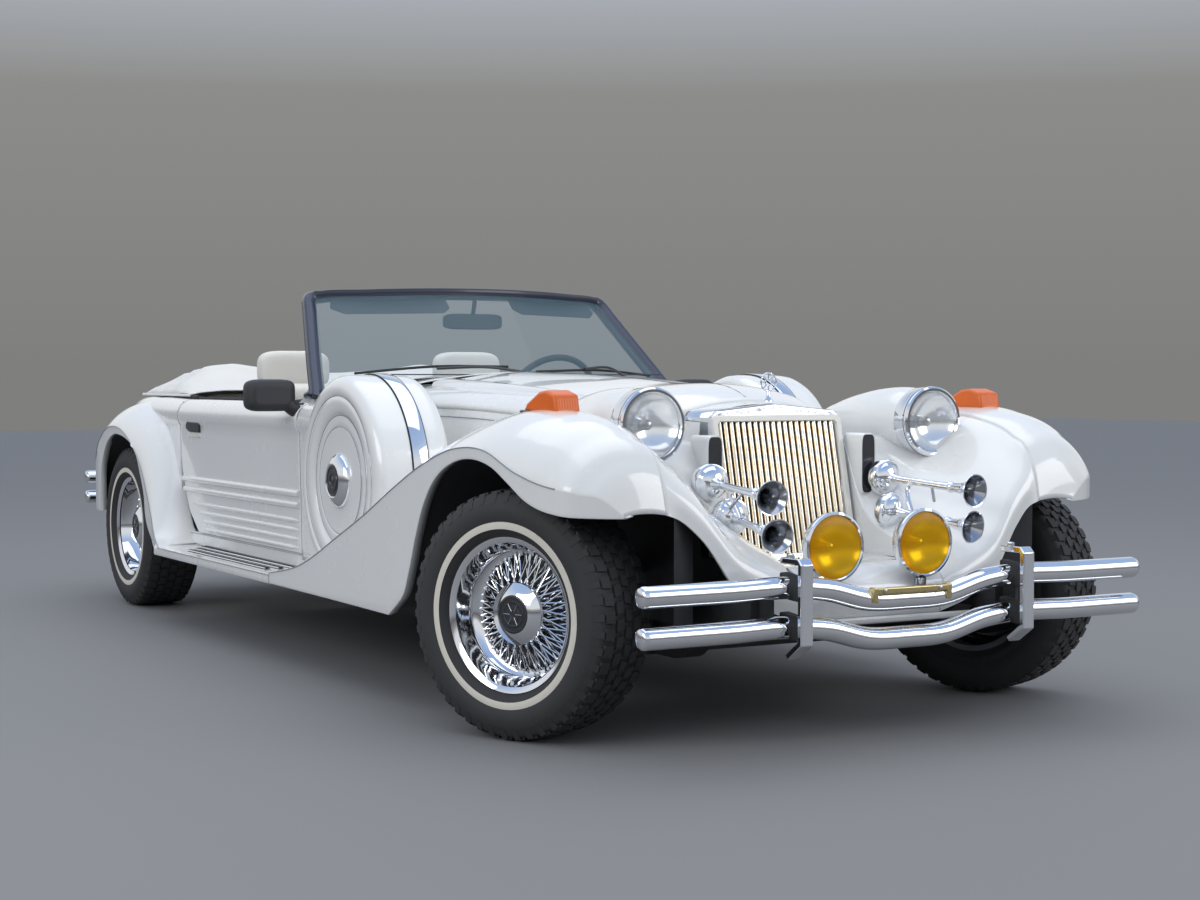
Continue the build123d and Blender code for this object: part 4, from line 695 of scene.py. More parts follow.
# Wheels and tyres, built once with +X outboard
WHEELS = (  # corner, side, steered angle, pivot x, axle y, wheel centre beyond the pivot
    ("front_left", 1, 22.5, 740, 58, 60), ("front_right", -1, 22.5, 740, 58, 60),
    ("rear_left", 1, 0, 725, 3607, 0), ("rear_right", -1, 0, 725, 3607, 0))
AXLE_Z = 331
TREADS, SPOKES = 46, 26
WHEEL_TURNED = (
    # flange, chrome dish, well, back
    ("rim", [(84, 190), (90, 200), (92, 205.5), (89, 207), (85, 205), (81, 199), (78, 194), (62, 190),
             (40, 184), (22, 174), (14, 164), (12, 156), (12, 152), (-6, 150), (-10, 158), (-20, 172),
             (-60, 184), (-78, 192), (-85, 205), (-90, 206), (-90, 190)], CHROME, 96),
    ("wheel_disc", [(-12, 160), (-4, 140), (0, 90), (4, 50)], DISC, 64),
    ("hub_cap", [(2, 66), (22, 68), (40, 72), (44, 82), (48, 84), (55, 82), (60, 74), (66, 64), (70, 56),
                 (72, 51), (70, 50)], CHROME, 64),
    ("cap_centre", [(69.5, 50), (71, 49), (72, 46), (70, 44), (70, 36), (72, 34), (72, 31), (70.5, 29),
                    (70.5, 22), (72.5, 20), (72.5, 9), (71, 7), (71, 0.1)], BLACK, 48),
    ("brake_disc", [(-34, 50), (-34, 132), (-24, 134), (-22, 132), (-22, 50)], STEEL, 64),
    ("hub_drum", [(-60, 34), (-58, 62), (-30, 66), (4, 66)], CAST, 40),
)


def on_wheel(x, r, a):
    return (x, r * math.cos(a), r * math.sin(a))


def tyre():
    """The carcass with its sidewall rings; its outboard white ring gets the second finish."""
    half = [(83, 196), (84, 205), (90, 207), (101, 216), (108, 226), (110.4, 227), (111.2, 232), (111.2, 241),
            (110.4, 246), (112, 247), (115, 256), (116.5, 268), (116, 280), (113, 292), (110, 300),
            (107, 304), (104, 312), (99, 318), (92, 322), (60, 323.5), (20, 324)]
    v, f = lathe(half + [(-a, r) for a, r in half[::-1]], 96)
    me = mesh("tyre_body", v, f, [TYRE, WHITEWALL], 32)
    white = []
    for face in f:
        radii = [math.hypot(v[i][1], v[i][2]) for i in face]
        outboard = min(v[i][0] for i in face) > 0.1098
        white.append(int(outboard and 0.2265 < min(radii) and max(radii) < 0.2465))
    me.polygons.foreach_set("material_index", white)
    return me


def tread():
    """Five rows of blocks round the crown, and lugs on both shoulders."""
    block = [(0, 3, 2, 1), (4, 5, 6, 7), (0, 1, 5, 4), (1, 2, 6, 5), (2, 3, 7, 6), (3, 0, 4, 7)]
    lug = [(0, 1, 3, 2), (2, 3, 5, 4), (4, 5, 7, 6), (6, 7, 9, 8), (8, 9, 1, 0), (0, 2, 4, 6, 8),
           (1, 9, 7, 5, 3)]
    # each row's two edges across the tyre, its slant and how much of its pitch it fills
    rows = ((-92, -58, 0.25, .74), (-50, -20, -0.4, .70), (-13, 13, 0.5, .66), (20, 50, -0.4, .70),
            (58, 92, 0.25, .74))
    parts = []
    for i in range(TREADS):
        start = TURN * i / TREADS
        for row, (xa, xb, skew, fill) in enumerate(rows):
            a0 = start + (row % 2) * math.pi / TREADS
            d = TURN / TREADS * fill
            mid = (xa + xb) / 2
            v = []
            for r, shrink in ((0.3215, 0), (0.3310, 0.06)):
                for x, a in ((xa, 0), (xb, 0), (xb, d), (xa, d)):
                    turn = a0 + a * (1 - shrink) + d * shrink / 2 + (x - mid) / 100 * skew * 0.12
                    worn = 0.0035 if abs(x) > 85 and r > 0.33 else 0
                    v.append(on_wheel((x - shrink * (x - mid)) / 1000, r - worn, turn))
            parts.append((v, block))
        for sg in (-1, 1):
            v = [on_wheel(sg * x / 1000, r, start + k)
                 for x, r in ((94, .3205), (107, .3010), (112.5, .2960), (107, .3075), (97, .3260))
                 for k in (0.02, TURN / TREADS * 0.6)]
            parts.append((v, lug if sg > 0 else [g[::-1] for g in lug]))
    return parts


def wires():
    """Two layers of crossed spokes, with a nipple at the rim end of each spoke that leans forward."""
    parts = []
    layers = ((0.044, 0.076, 0.020, 0.157, 11), (0.030, 0.070, 0.016, 0.158, 14))
    for layer, (x0, r0, x1, r1, lean) in enumerate(layers):
        for k in range(SPOKES):
            a1 = TURN * (k + 0.5 * layer) / SPOKES
            for sg in (-1, 1):
                p0, p1 = on_wheel(x0, r0, a1 + sg * rad(lean)), on_wheel(x1, r1, a1)
                parts.append(tube_mesh([p0, p1], 0.0022, 6, caps=False))
                if sg > 0:
                    parts.append(tube_mesh([p1, [b + (a - b) * 0.13 for a, b in zip(p0, p1)]], 0.0038, 6))
    return parts


rays = [tube_mesh([on_wheel(0.0722, r, TURN / 6 * k) for r in (0.009, 0.031)], 0.0016, 6) for k in range(6)]
wheel = [tyre(), mesh("tread_blocks", *join(tread()), [TYRE], 32),
         mesh("cap_rays", *join(rays), [CHROME_DARK], 32), mesh("wires", *join(wires()), [CHROME], 32)]
wheel += [mesh(name, *lathe(profile, n), [mat], 32) for name, profile, mat, n in WHEEL_TURNED]
for corner, sg, steer, pivot_x, axle_y, reach in WHEELS:
    end, side = corner.split("_")
    outward = Vector((sg * math.cos(rad(steer)), sg * math.sin(rad(steer)), 0))
    place = pointing(Vector(at(sg * pivot_x, axle_y, AXLE_Z)) + outward * (reach / 1000), outward)
    for me in wheel:
        ob = bpy.data.objects.new(f"{me.name}_{corner}", me)
        bpy.context.scene.collection.objects.link(ob)
        ob.matrix_world = place
        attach(ob, f"{end}_wheel_{side}")
        if me.name == "tyre_body":
            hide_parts(f"tyre_{corner}")
        if me.name == "rim":
            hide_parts(f"wheel_{corner}")

# Dark wheelhouse liners behind the arches
liner = []
for y, z in ARCH[ARCH[:, 0] > -364]:
    ox = hermite(WING, [y])[0][0]
    ix = float(np.interp(y, [-366, -330, -250, -100], [600, 516, 484, 468]))
    roof = z + 16
    liner.append([(x, y, roof) for x in np.linspace(ox - 10, ix, 8)]
                 + [(ix, y, low) for low in np.linspace(roof, 300, 6)[1:]])
pair(skin, "wheelhouse_front", liner, CHASSIS)
liner = []
for a in np.linspace(rad(10), rad(166), 60):
    ahead, up = 392 * math.cos(a), 392 * math.sin(a)
    liner.append([(x, 3607 - ahead, AXLE_Z + up) for x in np.linspace(852, 584, 8)]
                 + [(584, 3607 - ahead * k, AXLE_Z + up * k) for k in (0.8, 0.5)])
pair(skin, "wheelhouse_rear", liner, CHASSIS)

# Spare wheel covers with their bands and caps
SPARE = (860, 1223, 629)
cover = [(-250, 40), (-250, 311), (-240, 324), (-226, 331), (-206, 333), (-170, 333.4), (-110, 333.4),
         (-60, 333), (-34, 331), (-18, 324), (-8, 314), (-2, 300), (0, 284), (-0.5, 272), (-4, 269),
         (-4.6, 267), (-2, 264.5), (-3, 240), (-6, 222), (-12, 212), (-16, 208.5), (-16, 206), (-12.5, 204),
         (-11, 190), (-10.5, 173), (-12, 171), (-12, 169), (-10, 167.5), (-9.5, 120), (-9, 84), (-9, 0.1)]
pair(turned, "spare_shell", cover, SPARE, OUTWARD, WHITE, n=128, sharp=50, replaces=["spare_cover_*"])
turned_pairs(
    SPARE, OUTWARD,
    ("spare_band", [(-166, 334), (-166, 337.5), (-163, 338.5), (-119, 338.5), (-116, 337.5), (-116, 334)],
     CHROME, 128, "spare_bands"),
    ("spare_cap", [(-10, 86), (-4, 86), (2, 82), (8, 72), (14, 62), (17, 54), (15, 50)], CHROME, 64),
    ("spare_cap_centre", [(15, 51), (16, 46), (14, 44), (14, 36), (16.5, 34), (16.5, 22), (14.5, 20),
                          (14.5, 10), (16, 8), (16, 0.1)], BLACK, 48),
    *((f"spare_band_edge_{k}", [(x - 2.4, 334), (x, 337.6), (x + 2.4, 334)], RUBBER, 128)
      for k, x in enumerate((-168, -114))),
    *((f"spare_line_{k}", [(x - 2, r + 1.3), (x + 0.6, r), (x - 2, r - 1.3)], STRIPE, 128)
      for k, (x, r) in enumerate(((-2.6, 267), (-12.4, 206), (-10.6, 170)))))

# Body sides: doors, cowl, quarters share one flank profile
BELT = 826
LOW = 352                                       # the doors' lower edge


def flank(y, low, half=765, belt=BELT, top_half=705, top=868):
    z = np.linspace(low, belt - 60, 12)
    x = half - 7 + 7 * (z - LOW) / (belt - 60 - LOW)
    shoulder = arc3((half, belt - 60), (half - 12, (belt + top) / 2 + 8), (top_half, top), 10)
    return [(p, y, q) for p, q in [*zip(x, z), *shoulder[1:]]]


def door_x(z):
    """Outer face of the door below its shoulder."""
    return 757 + (z - LOW) * 7 / 414


DOOR_EDGE = [(1793, LOW), (2890, LOW), (2940, 388), (2995, 430), (3050, 524), (3089, 640)]
door = []
for y in np.linspace(1794, 3088.5, 90).round(1):
    low = float(np.interp(y, *zip(*DOOR_EDGE)))
    col = flank(y, low)
    door.append([(col[0][0] - 30, y, low + 1), (col[0][0] - 3, y, low), *col,
                 (690, y, 866), (674, y, 858), (673, y, 800)])
pair(skin, "door_skin", door, WHITE, body=DOOR, replaces=["door_*"], sharp=44, mods=thick(3))
# inner card, closing edges, armrest, pull, sail at the screen pillar
for name, outline, x0, x1, mat, bevel in (
        ("door_card", [(1796, 860), (1796, 354), (2892, 354), (2990, 436), (3050, 528), (3086, 642),
                       (3086, 860)],
         673, 700, LEATHER, (6, 3)),
        ("door_front_edge", [(1796, 860), (1796, 354), (1812, 354), (1812, 860)], 676, 756, WHITE, ()),
        ("door_rear_edge", [(3072, 860), (3072, 610), (3086, 642), (3086, 860)], 676, 756, WHITE, ()),
        ("door_sail", [(1795, 862), (1795, 925), (1830, 916), (1880, 890), (1925, 868), (1940, 862)],
         690, 712, WHITE, (4, 3)),
        ("door_handle", [(2842, 742), (2842, 772), (2850, 780), (2985, 782), (3000, 770), (2996, 752),
                         (2960, 742)],
         760, 775, PLASTIC, (5, 4)),
        ("handle_plate", [(2846, 722), (2846, 741), (2990, 741), (2990, 722)], 760, 769, LIP, (4, 3))):
    pair(slab, name, outline, x0, x1, mat, bevel, body=DOOR)
pair(blocks, "door_armrest", [(610, 2180, 590, 676, 2760, 640)], LEATHER, 16, body=DOOR)
pair(blocks, "door_pull", [(655, 2240, 690, 676, 2380, 716)], CHROME_DARK, body=DOOR)
pair(tube, "door_seal", [(701, 1796, 930), (700, 1836, 920), (698, 1884, 895), (697, 1928, 874),
                         (694, 1975, 871), (688, 2500, 871),
                         (688, 3080, 871)], 6.5, RUBBER, body=DOOR, smooth=50)
# mirror head, its glass and its stalk
head = [soft_ring(852 + dx, y, 893, w, h, 0.42, 0.42, 32)
        for y, w, h, dx in ((1806, 60, 30, 0), (1810, 76, 46, 0), (1820, 84, 54, 0), (1850, 85, 55, 2),
                            (1868, 83, 53, 3), (1874, 78, 48, 3))]
pair(skin, "mirror_head", head, PLASTIC, closed=True, sharp=60, body=DOOR, replaces=["door_fittings_*"])
pair(plate, "mirror_front", head[0], PLASTIC, body=DOOR)
glass = [(855 + (x - 855) * 0.98, 1873.5, 893 + (z - 893) * 0.98) for x, _, z in head[-1]]
pair(plate, "mirror_glass", glass, MIRROR, body=DOOR)
pair(tube, "mirror_stalk", [(742, 1828, 838), (768, 1830, 846), (790, 1834, 866), (808, 1838, 884)],
     [30, 30] + [27] * 12 + [24] * 2, PLASTIC, n=24, smooth=16, sharp=38, body=DOOR)
# mouldings, ribs and the painted belt line
for k, (z, y1) in enumerate(((556, 3060), (516, 3040))):
    for side, sg in SIDES:
        v, f = tube_mesh([at(sg * (door_x(z) + 2.5), y, z) for y in np.linspace(1800, y1, 20)], 0.0105, 14)
        tall = [(a, b, z / 1000 + (c - z / 1000) * 1.1) for a, b, c in v]
        make(f"door_moulding_{k}_{side}", tall, f, WHITE, body=f"door_{side}")
for k, (z, y1) in enumerate(((462, 2940), (430, 2900), (398, 2860), (368, 2840))):
    pair(tube, f"door_rib_{k}", [(door_x(z), y, z) for y in np.linspace(1800 + k * 6, y1, 16)],
         [2] + [8.5] * 14 + [2], WHITE, n=12, sharp=38, body=DOOR)
pair(tube, "belt_stripe_door", [(765.4, y, BELT) for y in np.linspace(1796, 3087, 12)], 1.6, STRIPE,
     n=6, sharp=38, body=DOOR)

cowl = [crowned([(x, z) for x, _, z in flank(y, 330)], 974, y) for y in np.linspace(1563, 1787, 20)]
skin("cowl_cover", cowl, WHITE, replaces=["cowl_panel"], sharp=44, mods=thick(4))
blocks("firewall", [(-500, 1566, 330, 500, 1570, 866)], CHASSIS, 1)
closing = []
for x in np.linspace(484, 764, 20):
    top = 966 - 98 * (x / 705) ** 2 if x < 705 else 868 - 102 * ((x - 705) / 60) ** 1.8
    closing.append([(x, 1562, z) for z in np.linspace(300, top, 12)] + [(x, 1572, top)])
pair(skin, "cowl_closing", closing, WHITE, sharp=30)
blocks("scuttle_strip", [(-560, 1592, 962, 560, 1604, 966)], GAP, 1)     # dark strip below the screen

# Quarters, tail, rear deck and boot lid
REAR = [
    # y, half width, belt, shoulder half width, top
    (3095, 765, 826, 705, 868), (3560, 745, 824, 680, 872), (3950, 700, 805, 620, 858),
    (4100, 668, 768, 580, 832), (4180, 640, 740, 560, 800),
]
quarter = []
for y in np.linspace(3095, 4180, 70):
    low = np.interp(y, [3095, 3120, 3300, 3900, 4000, 4180], [640, 560, 560, 560, 420, 400])
    quarter.append(flank(y, low, *hermite(REAR, [y])[0]))
pair(skin, "quarter_panel", quarter, WHITE, sharp=44)
tail = []
tail_half = REAR[-1][1] - 6
for z in np.linspace(400, 800, 18):
    half = tail_half * (1 - 0.14 * (max(0, z - 700) / 100) ** 2)
    swell = 26 * math.sin(math.pi * min(1, (z - 400) / 400 + 0.15) * 0.8)
    tail.append([(x, 4180 + swell * (1 - (x / half) ** 2), z) for x in np.linspace(-half, half, 31)])
skin("tail_panel", tail, WHITE, flip=True)


def deck_patch(y0, y1, x0=None, x1=None):
    """Patch of the crowned rear deck; x0 or x1 of None runs out to the shoulder."""
    out = []
    for y in np.linspace(y0, y1, 14):
        _, _, shoulder, top = hermite(REAR, [y])[0]
        a, b = (-shoulder if x0 is None else x0), (shoulder if x1 is None else x1)
        out.append([(x, y, top + 6 * (1 - (x / shoulder) ** 2)) for x in np.linspace(a, b, 25)])
    return out


skin("rear_deck", deck_patch(3700, 3822), WHITE)
skin("rear_deck_end", deck_patch(4136, 4180), WHITE)
skin("rear_deck_left", deck_patch(3822, 4136, x0=449), WHITE)
skin("rear_deck_right", deck_patch(3822, 4136, x1=-449), WHITE)
blocks("boot_gutter", [(-448, 3824, 850, 448, 3838, 856), (-448, 4130, 806, 448, 4136, 812),
                       (-449, 3838, 848, -445, 3940, 852), (445, 3838, 848, 449, 3940, 852)], RUBBER, 1)
skin("boot_lid_skin", deck_patch(3842, 4131, -443, 443), WHITE, body="trunk_lid", replaces=["trunk_lid"],
     mods=thick(6))
stripe("belt_stripe_rear", [(hermite(REAR, [y])[0][0] + 0.4, y, BELT) for y in np.linspace(3097, 3400, 10)])
stripe("belt_stripe_cowl", [(765.4, y, BELT) for y in np.linspace(1600, 1786, 6)])

# Rear wings
REAR_WING = [
    # y, outer x, crest z, crown x, crown z, inner x, inner z
    (2952, 902, 292, 815, 302, 730, 306), (3040, 890, 330, 812, 372, 736, 392),
    (3120, 878, 400, 812, 520, 740, 570), (3270, 870, 576, 806, 712, 738, 762),
    (3470, 868, 705, 800, 800, 726, 836), (3670, 868, 750, 796, 828, 706, 852),
    (3850, 866, 712, 788, 780, 690, 806), (3950, 862, 640, 778, 700, 670, 722),
    (4020, 846, 540, 760, 590, 640, 606), (4060, 815, 440, 740, 470, 620, 480),
]
REAR_ARCH = smooth_path([(3030, 262), (3120, 308), (3180, 342), (3210, 372), (3245, 480), (3300, 562),
                         (3350, 627), (3420, 676), (3500, 700), (3590, 714), (3665, 716), (3740, 698),
                         (3800, 665), (3840, 624), (3870, 578), (3884, 450), (3886, 380)], 110)
columns = stations(REAR_ARCH[:, 0], (2952, 3028, 10), (3888, 4060, 26))
rear_wing = wing_rows(REAR_WING, REAR_ARCH, columns, 24, low_behind=380)
pair(skin, "wing_rear", rear_wing, WHITE, replaces=["rear_fender_*"], sharp=34, mods=thick(5))
stripe("stripe_rear_wing", crest_line(rear_wing, 0, 3990), 1.8)

# Running boards
board = []
for y in np.linspace(1700, 3000, 30):
    rise = 12 * math.exp(-((3000 - y) / 60))
    board.append([(903, y, 262), (905, y, 268), (905, y, 284), (903, y, 290), (896, y, 292.5 + rise),
                  (870, y, 293 + rise), (700, y, 294 + rise), (640, y, 300 + rise)])
pair(skin, "running_board", board, WHITE, sharp=34, replaces=["running_boards"])
stripe("board_edge", [(905.5, y, 291) for y in np.linspace(1716, 2960, 20)], 1.8)
for k, x in enumerate((668, 712, 756, 800, 844)):
    y0, y1 = 1830 + 16 * k, 2960 - 54 * k
    for side, sg in SIDES:
        slab(f"tread_strip_{k}_{side}", [(y0, 294), (y0 + 6, 299), (y1 - 6, 299), (y1, 294)],
             sg * x - 9, sg * x + 9, RUBBER, (2, 2))
        for edge, e in (("in", -10), ("out", 10)):
            tube(f"tread_edge_{k}_{edge}_{side}", [(sg * x + e, y, 297) for y in (y0, y1)], 2.2, CHROME,
                 n=8, sharp=38)
pair(slab, "rocker", [(1720, 296), (1720, 350), (3040, 350), (2960, 296)], 700, 752, WHITE, (10, 4))


# Windscreen
def screen_y(x, z):
    """How far back the raked and bowed screen stands."""
    mid = 1528 + 1.10 * (z - 870)
    end = 1732 + 1.2337 * (z - 870)
    return mid + (end - mid) * (x / 720) ** 2


SURROUND = ((8, -18), (13, -8), (13, 26), (6, 36), (-20, 38), (-38, 26), (-40, 4), (-36, -10), (-24, -18),
            (-8, -23))
post = [(-718, 894), (-690, 985), (-656, 1090), (-624, 1188), (-607, 1236), (-590, 1254), (-560, 1260),
        (-400, 1268), (-200, 1274)]
outline = smooth_path([(x, 0, z) for x, z in post + [(0, 1276)] + [(-x, z) for x, z in post[::-1]]], 110)
surround = []
for i, (x, _, z) in enumerate(outline):
    t = outline[min(i + 1, len(outline) - 1)] - outline[max(i - 1, 0)]
    run = math.hypot(t[2], t[0])
    nx, nz = -t[2] / run, t[0] / run            # outwards
    most = 3 + 13 * abs(nx)
    surround.append([(x + nx * min(u, most), screen_y(x, z) + w, z + nz * min(u, most)) for u, w in SURROUND])
skin("screen_surround", surround, NAVY, closed=True, sharp=50, replaces=["windshield_frame"])
pane = []
for up in np.linspace(0, 1, 14):
    row = []
    for across in np.linspace(-1, 1, 31):
        x = np.interp(up, [0, 1], [690, 586]) * across
        top, foot = 1262 - 12 * across ** 2, 950 - 50 * abs(across) ** 2.2
        z = foot + (top - foot) * up
        row.append((x, screen_y(x, z) + 6, z))
    pane.append(row)
skin("screen_pane", pane, SCREEN, replaces=["windshield_glass"])
base = [(x, 952 - 50 * abs(x / 700) ** 2.2) for x in np.linspace(-700, 700, 31)]
tube("screen_base_seal", [(x, screen_y(x, z) - 2, z) for x, z in base], 11, RUBBER, smooth=60)
pair(tube, "pillar_foot", [(716, 1768, 890), (722, 1800, 896), (722, 1830, 892)], 12, NAVY, smooth=10)
WIPERS = (  # pivot, tip of the arm, both ends of the blade
    ((40, 1590, 966), (-330, 1614, 985), (-600, 1700, 968), (-60, 1604, 992)),
    ((470, 1668, 946), (250, 1610, 985), (40, 1580, 975), (600, 1742, 962)))
for k, (pivot, tip, blade0, blade1) in enumerate(WIPERS):
    arm, blade = np.add(pivot, tip) / 2, np.add(blade0, blade1) / 2
    tube(f"wiper_arm_{k}", [pivot, (arm[0], arm[1] - 8, 990), tip], 5, BLACK, smooth=14)
    tube(f"wiper_blade_{k}", [blade0, (blade[0], blade[1] - 22, blade[2] + 12), blade1], 4.5, RUBBER,
         smooth=24)
    turned(f"wiper_pivot_{k}", [(-14, 13), (0, 14), (8, 10), (9, 0.1)], pivot, (0, -0.3, 1), BLACK, n=24)
# interior mirror, its stalk and the sun visors
mirror = [soft_ring(0, 2000 + d, 1160, 118 * e, 29 * e, 0.35, 0.45, 40)
          for d, e in ((0, 0.86), (3, 1), (18, 1), (24, 0.8))]
skin("inner_mirror", mirror, PLASTIC, closed=True, sharp=60)
plate("inner_mirror_glass", [(x * 0.97, 2025, 1160 + (z - 1160) * 0.95) for x, _, z in mirror[2]], MIRROR)
plate("inner_mirror_front", mirror[0], PLASTIC, flip=True)
tube("inner_mirror_stalk", [(0, 2012, 1180), (0, 2000, 1205), (0, 1992, 1236)], 8, PLASTIC, smooth=8)
VISOR = ((130, 1262), (520, 1250), (540, 1200), (500, 1180), (160, 1186), (128, 1205))
for side, sg in SIDES:
    v = [at(sg * x, screen_y(x, z) + 26 + d, z) for d in (0, 12) for x, z in VISOR]
    make(f"visor_{side}", v, prism_faces(len(VISOR)), PLASTIC, mods=rounded())

# Cabin: dash, wheel, seats
dash = []
for x in np.linspace(-660, 660, 30):
    c = 1 - (x / 680) ** 2
    dash.append([(x, 1740, 850), (x, 1760, 905 + 20 * c), (x, 1830, 918 + 22 * c), (x, 1920, 905 + 14 * c),
                 (x, 1975, 876), (x, 1990, 820), (x, 1970, 740), (x, 1940, 690)])
skin("dash_pad", dash, PLASTIC, replaces=["dashboard"], sharp=60)
blocks("console", [(-105, 1800, 490, 105, 2060, 640), (-100, 2040, 490, 100, 2690, 578)], PLASTIC, 20)
blocks("dash_face", [(-640, 1930, 690, 640, 1965, 850)], PLASTIC, 10)
for k, (x, z, r) in enumerate(((300, 806, 34), (420, 806, 34), (250, 790, 22), (470, 790, 22))):
    turned(f"dial_{k}", [(0, r), (6, r), (7, r - 4), (3, 0.1)], (x, 1968, z), (0, 1, 0.1), CHROME_DARK, n=32)
blocks("radio", [(-80, 2052, 600, 80, 2066, 630)], CHROME_DARK, 3)
COLUMN_TILT = rad(25)
wheel_place = pointing(at(360, 2078, 862), (0, math.cos(COLUMN_TILT), math.sin(COLUMN_TILT)))


def on_steering(x, r, a):
    return tuple(wheel_place @ Vector(on_wheel(x, r, a)))


parts = [tube_mesh([on_steering(0, 0.185, a) for a in np.linspace(0, TURN, 65)], 0.0125, 14, caps=False)]
for a in (rad(-90), rad(20), rad(160)):
    parts.append(tube_mesh([on_steering(-0.012, 0.05, a), on_steering(-0.002, 0.18, a)], 0.011, 10))
parts.append(lathe([(-40, 40), (-20, 48), (0, 50), (12, 40), (16, 1)], 40, wheel_place))
make("steering_rim", *join(parts), PLASTIC, body="steering_wheel", replaces=["steering_wheel"], sharp=60)


def cushion(name, centre, size, tilt=0, channels=0, power=0.38, replaces=()):
    """A stuffed form: a superellipsoid pinched at its edges, with sewn channels on top, tilted about X."""
    rows, n = 28, 48
    channel_depth = 3.6
    cx, cy, cz = centre
    sx, sy, sz = (q / 2 for q in size)
    t = rad(tilt)
    grid = []
    for i in range(rows):
        up = -math.pi / 2 + math.pi * i / (rows - 1)
        c, s = math.cos(up), math.sin(up)
        row = []
        for j in range(n):
            a = TURN * j / n
            x = sx * bulge(c, power) * bulge(math.cos(a), power)
            y = sy * bulge(c, power) * bulge(math.sin(a), power)
            z = sz * bulge(s, 0.55)
            if channels and z > 0:
                z += channel_depth * (1 - abs(math.sin(math.pi * channels * (x / sx + 1) / 2)) ** 0.3)
            row.append((cx + x, cy + y * math.cos(t) - z * math.sin(t),
                        cz + y * math.sin(t) + z * math.cos(t)))
        grid.append(row)
    skin(name, grid, LEATHER, closed=True, sharp=0, replaces=replaces)


for side, sg in SIDES:
    x, back_x = sg * 380, sg * 285
    cushion(f"seat_cushion_{side}", (x, 2460, 478), (420, 470, 130), 4, 5,
            replaces=nodes_for(side, ["front_seats"]))
    cushion(f"seat_back_{side}", (x, 2760, 700), (420, 470, 120), 106, 5)
    for edge, k in (("in", -1), ("out", 1)):
        cushion(f"seat_bolster_{edge}_{side}", (x + k * 190, 2450, 500), (60, 440, 120), 4)
    cushion(f"headrest_{side}", (x, 2850, 985), (290, 92, 150), power=0.45)
    for post, k in (("a", -50), ("b", 50)):
        tube(f"headrest_post_{post}_{side}", [(x + k, 2842, 870), (x + k, 2848, 930)], 6, CHROME)
    cushion(f"rear_cushion_{side}", (back_x, 3300, 560), (530, 360, 120), 6, 4,
            replaces=nodes_for(side, ["rear_seat"]))
    cushion(f"rear_back_{side}", (back_x, 3560, 720), (530, 330, 110), 98, 4)
blocks("seat_bases", [(190, 2260, 312, 570, 2660, 430), (-570, 2260, 312, -190, 2660, 430),
                      (-550, 3140, 498, 550, 3540, 520)], CARPET, 10)
carpets = [(-640, 1590, 312, -155, 3060, 320), (155, 1590, 312, 640, 3060, 320),
           (-125, 1600, 486, 125, 3060, 492)]
make("carpets", *join([block_mesh(*b) for b in carpets]), CARPET)
blocks("cabin_side_trim", [(640, 3095, 500, 668, 3640, 862), (-668, 3095, 500, -640, 3640, 862),
                           (-640, 3062, 320, 640, 3076, 498)], LEATHER, 6)

# Folded soft top under its cover
top = []
for y in np.linspace(3180, 3872, 56):
    k = (y - 3180) / 692
    half = 694 - 16 * k
    ridge = np.interp(k, [0, 0.12, 0.33, 0.6, 0.85, 0.95, 1], [18, 52, 124, 106, 84, 56, -18])
    swell = math.sin(math.pi * k)
    row = []
    for s in np.linspace(-1, 1, 61):
        a = abs(s)
        profile = np.interp(a, [0, 0.35, 0.62, 0.80, 0.93, 1.0], [0.72, 0.80, 1.0, 0.92, 0.52, 0.0])
        fold = 4.0 * math.sin(19 * s + 5 * k) * k * (1 - a) + 3.0 * math.sin(31 * k + 4 * s)
        dip = -16 * math.exp(-((a - 0.9) / 0.08) ** 2) * swell
        row.append((half * s, y, 884 + ridge * profile + (fold * (0.4 + 0.6 * swell) + dip) * (a < 0.985)))
    top.append(row)
cover = skin("soft_top_cover", top, CLOTH, sharp=70, replaces=["soft_top_stack"], mods=thick(3))
pair(tube, "cover_welt", [(x, y, z - 2) for x, y, z in (row[-1] for row in top)], 5, CLOTH, smooth=40)
pair(tube, "cabin_rail", [(688, 3094, 874), (686, 3180, 878), (684, 3300, 882), (680, 3440, 880)], 9, RUBBER,
     smooth=20)
tube("cover_welt_rear", [(x, y + 2, z) for x, y, z in top[-1]], 5, CLOTH, smooth=60)
for name, column in (("cover_seam", 48), ("cover_seam_right", 12)):
    tube(name, [(x, y, z + 1.2) for x, y, z in (row[column] for row in top)], 2.2, CLOTH, smooth=50)

# Tail lamps, exhaust tips, plate bracket, lid pull
for side, sg in SIDES:
    slab(f"tail_lens_{side}", [(4182, 560), (4182, 720), (4208, 714), (4208, 566)],
         sg * 500 - 37, sg * 500 + 37, RED, (10, 4), replaces=nodes_for(side, ["tail_lamps"]))
    slab(f"tail_bezel_{side}", [(4180, 552), (4180, 728), (4194, 728), (4194, 552)],
         sg * 500 - 45, sg * 500 + 45, CHROME, (5, 3))
turned_pairs((272, 4330, 210), (0, 1, 0.1),
             ("exhaust_tip", [(-90, 24), (0, 27), (4, 27), (4, 24), (-30, 22), (-80, 0.1)], CHROME, 32))
blocks("rear_plate_bracket", [(-150, 4206, 520, 150, 4212, 640)], STEEL, 3)
blocks("boot_lid_pull", [(-40, 4120, 838, 40, 4138, 848)], CHROME, body="trunk_lid")

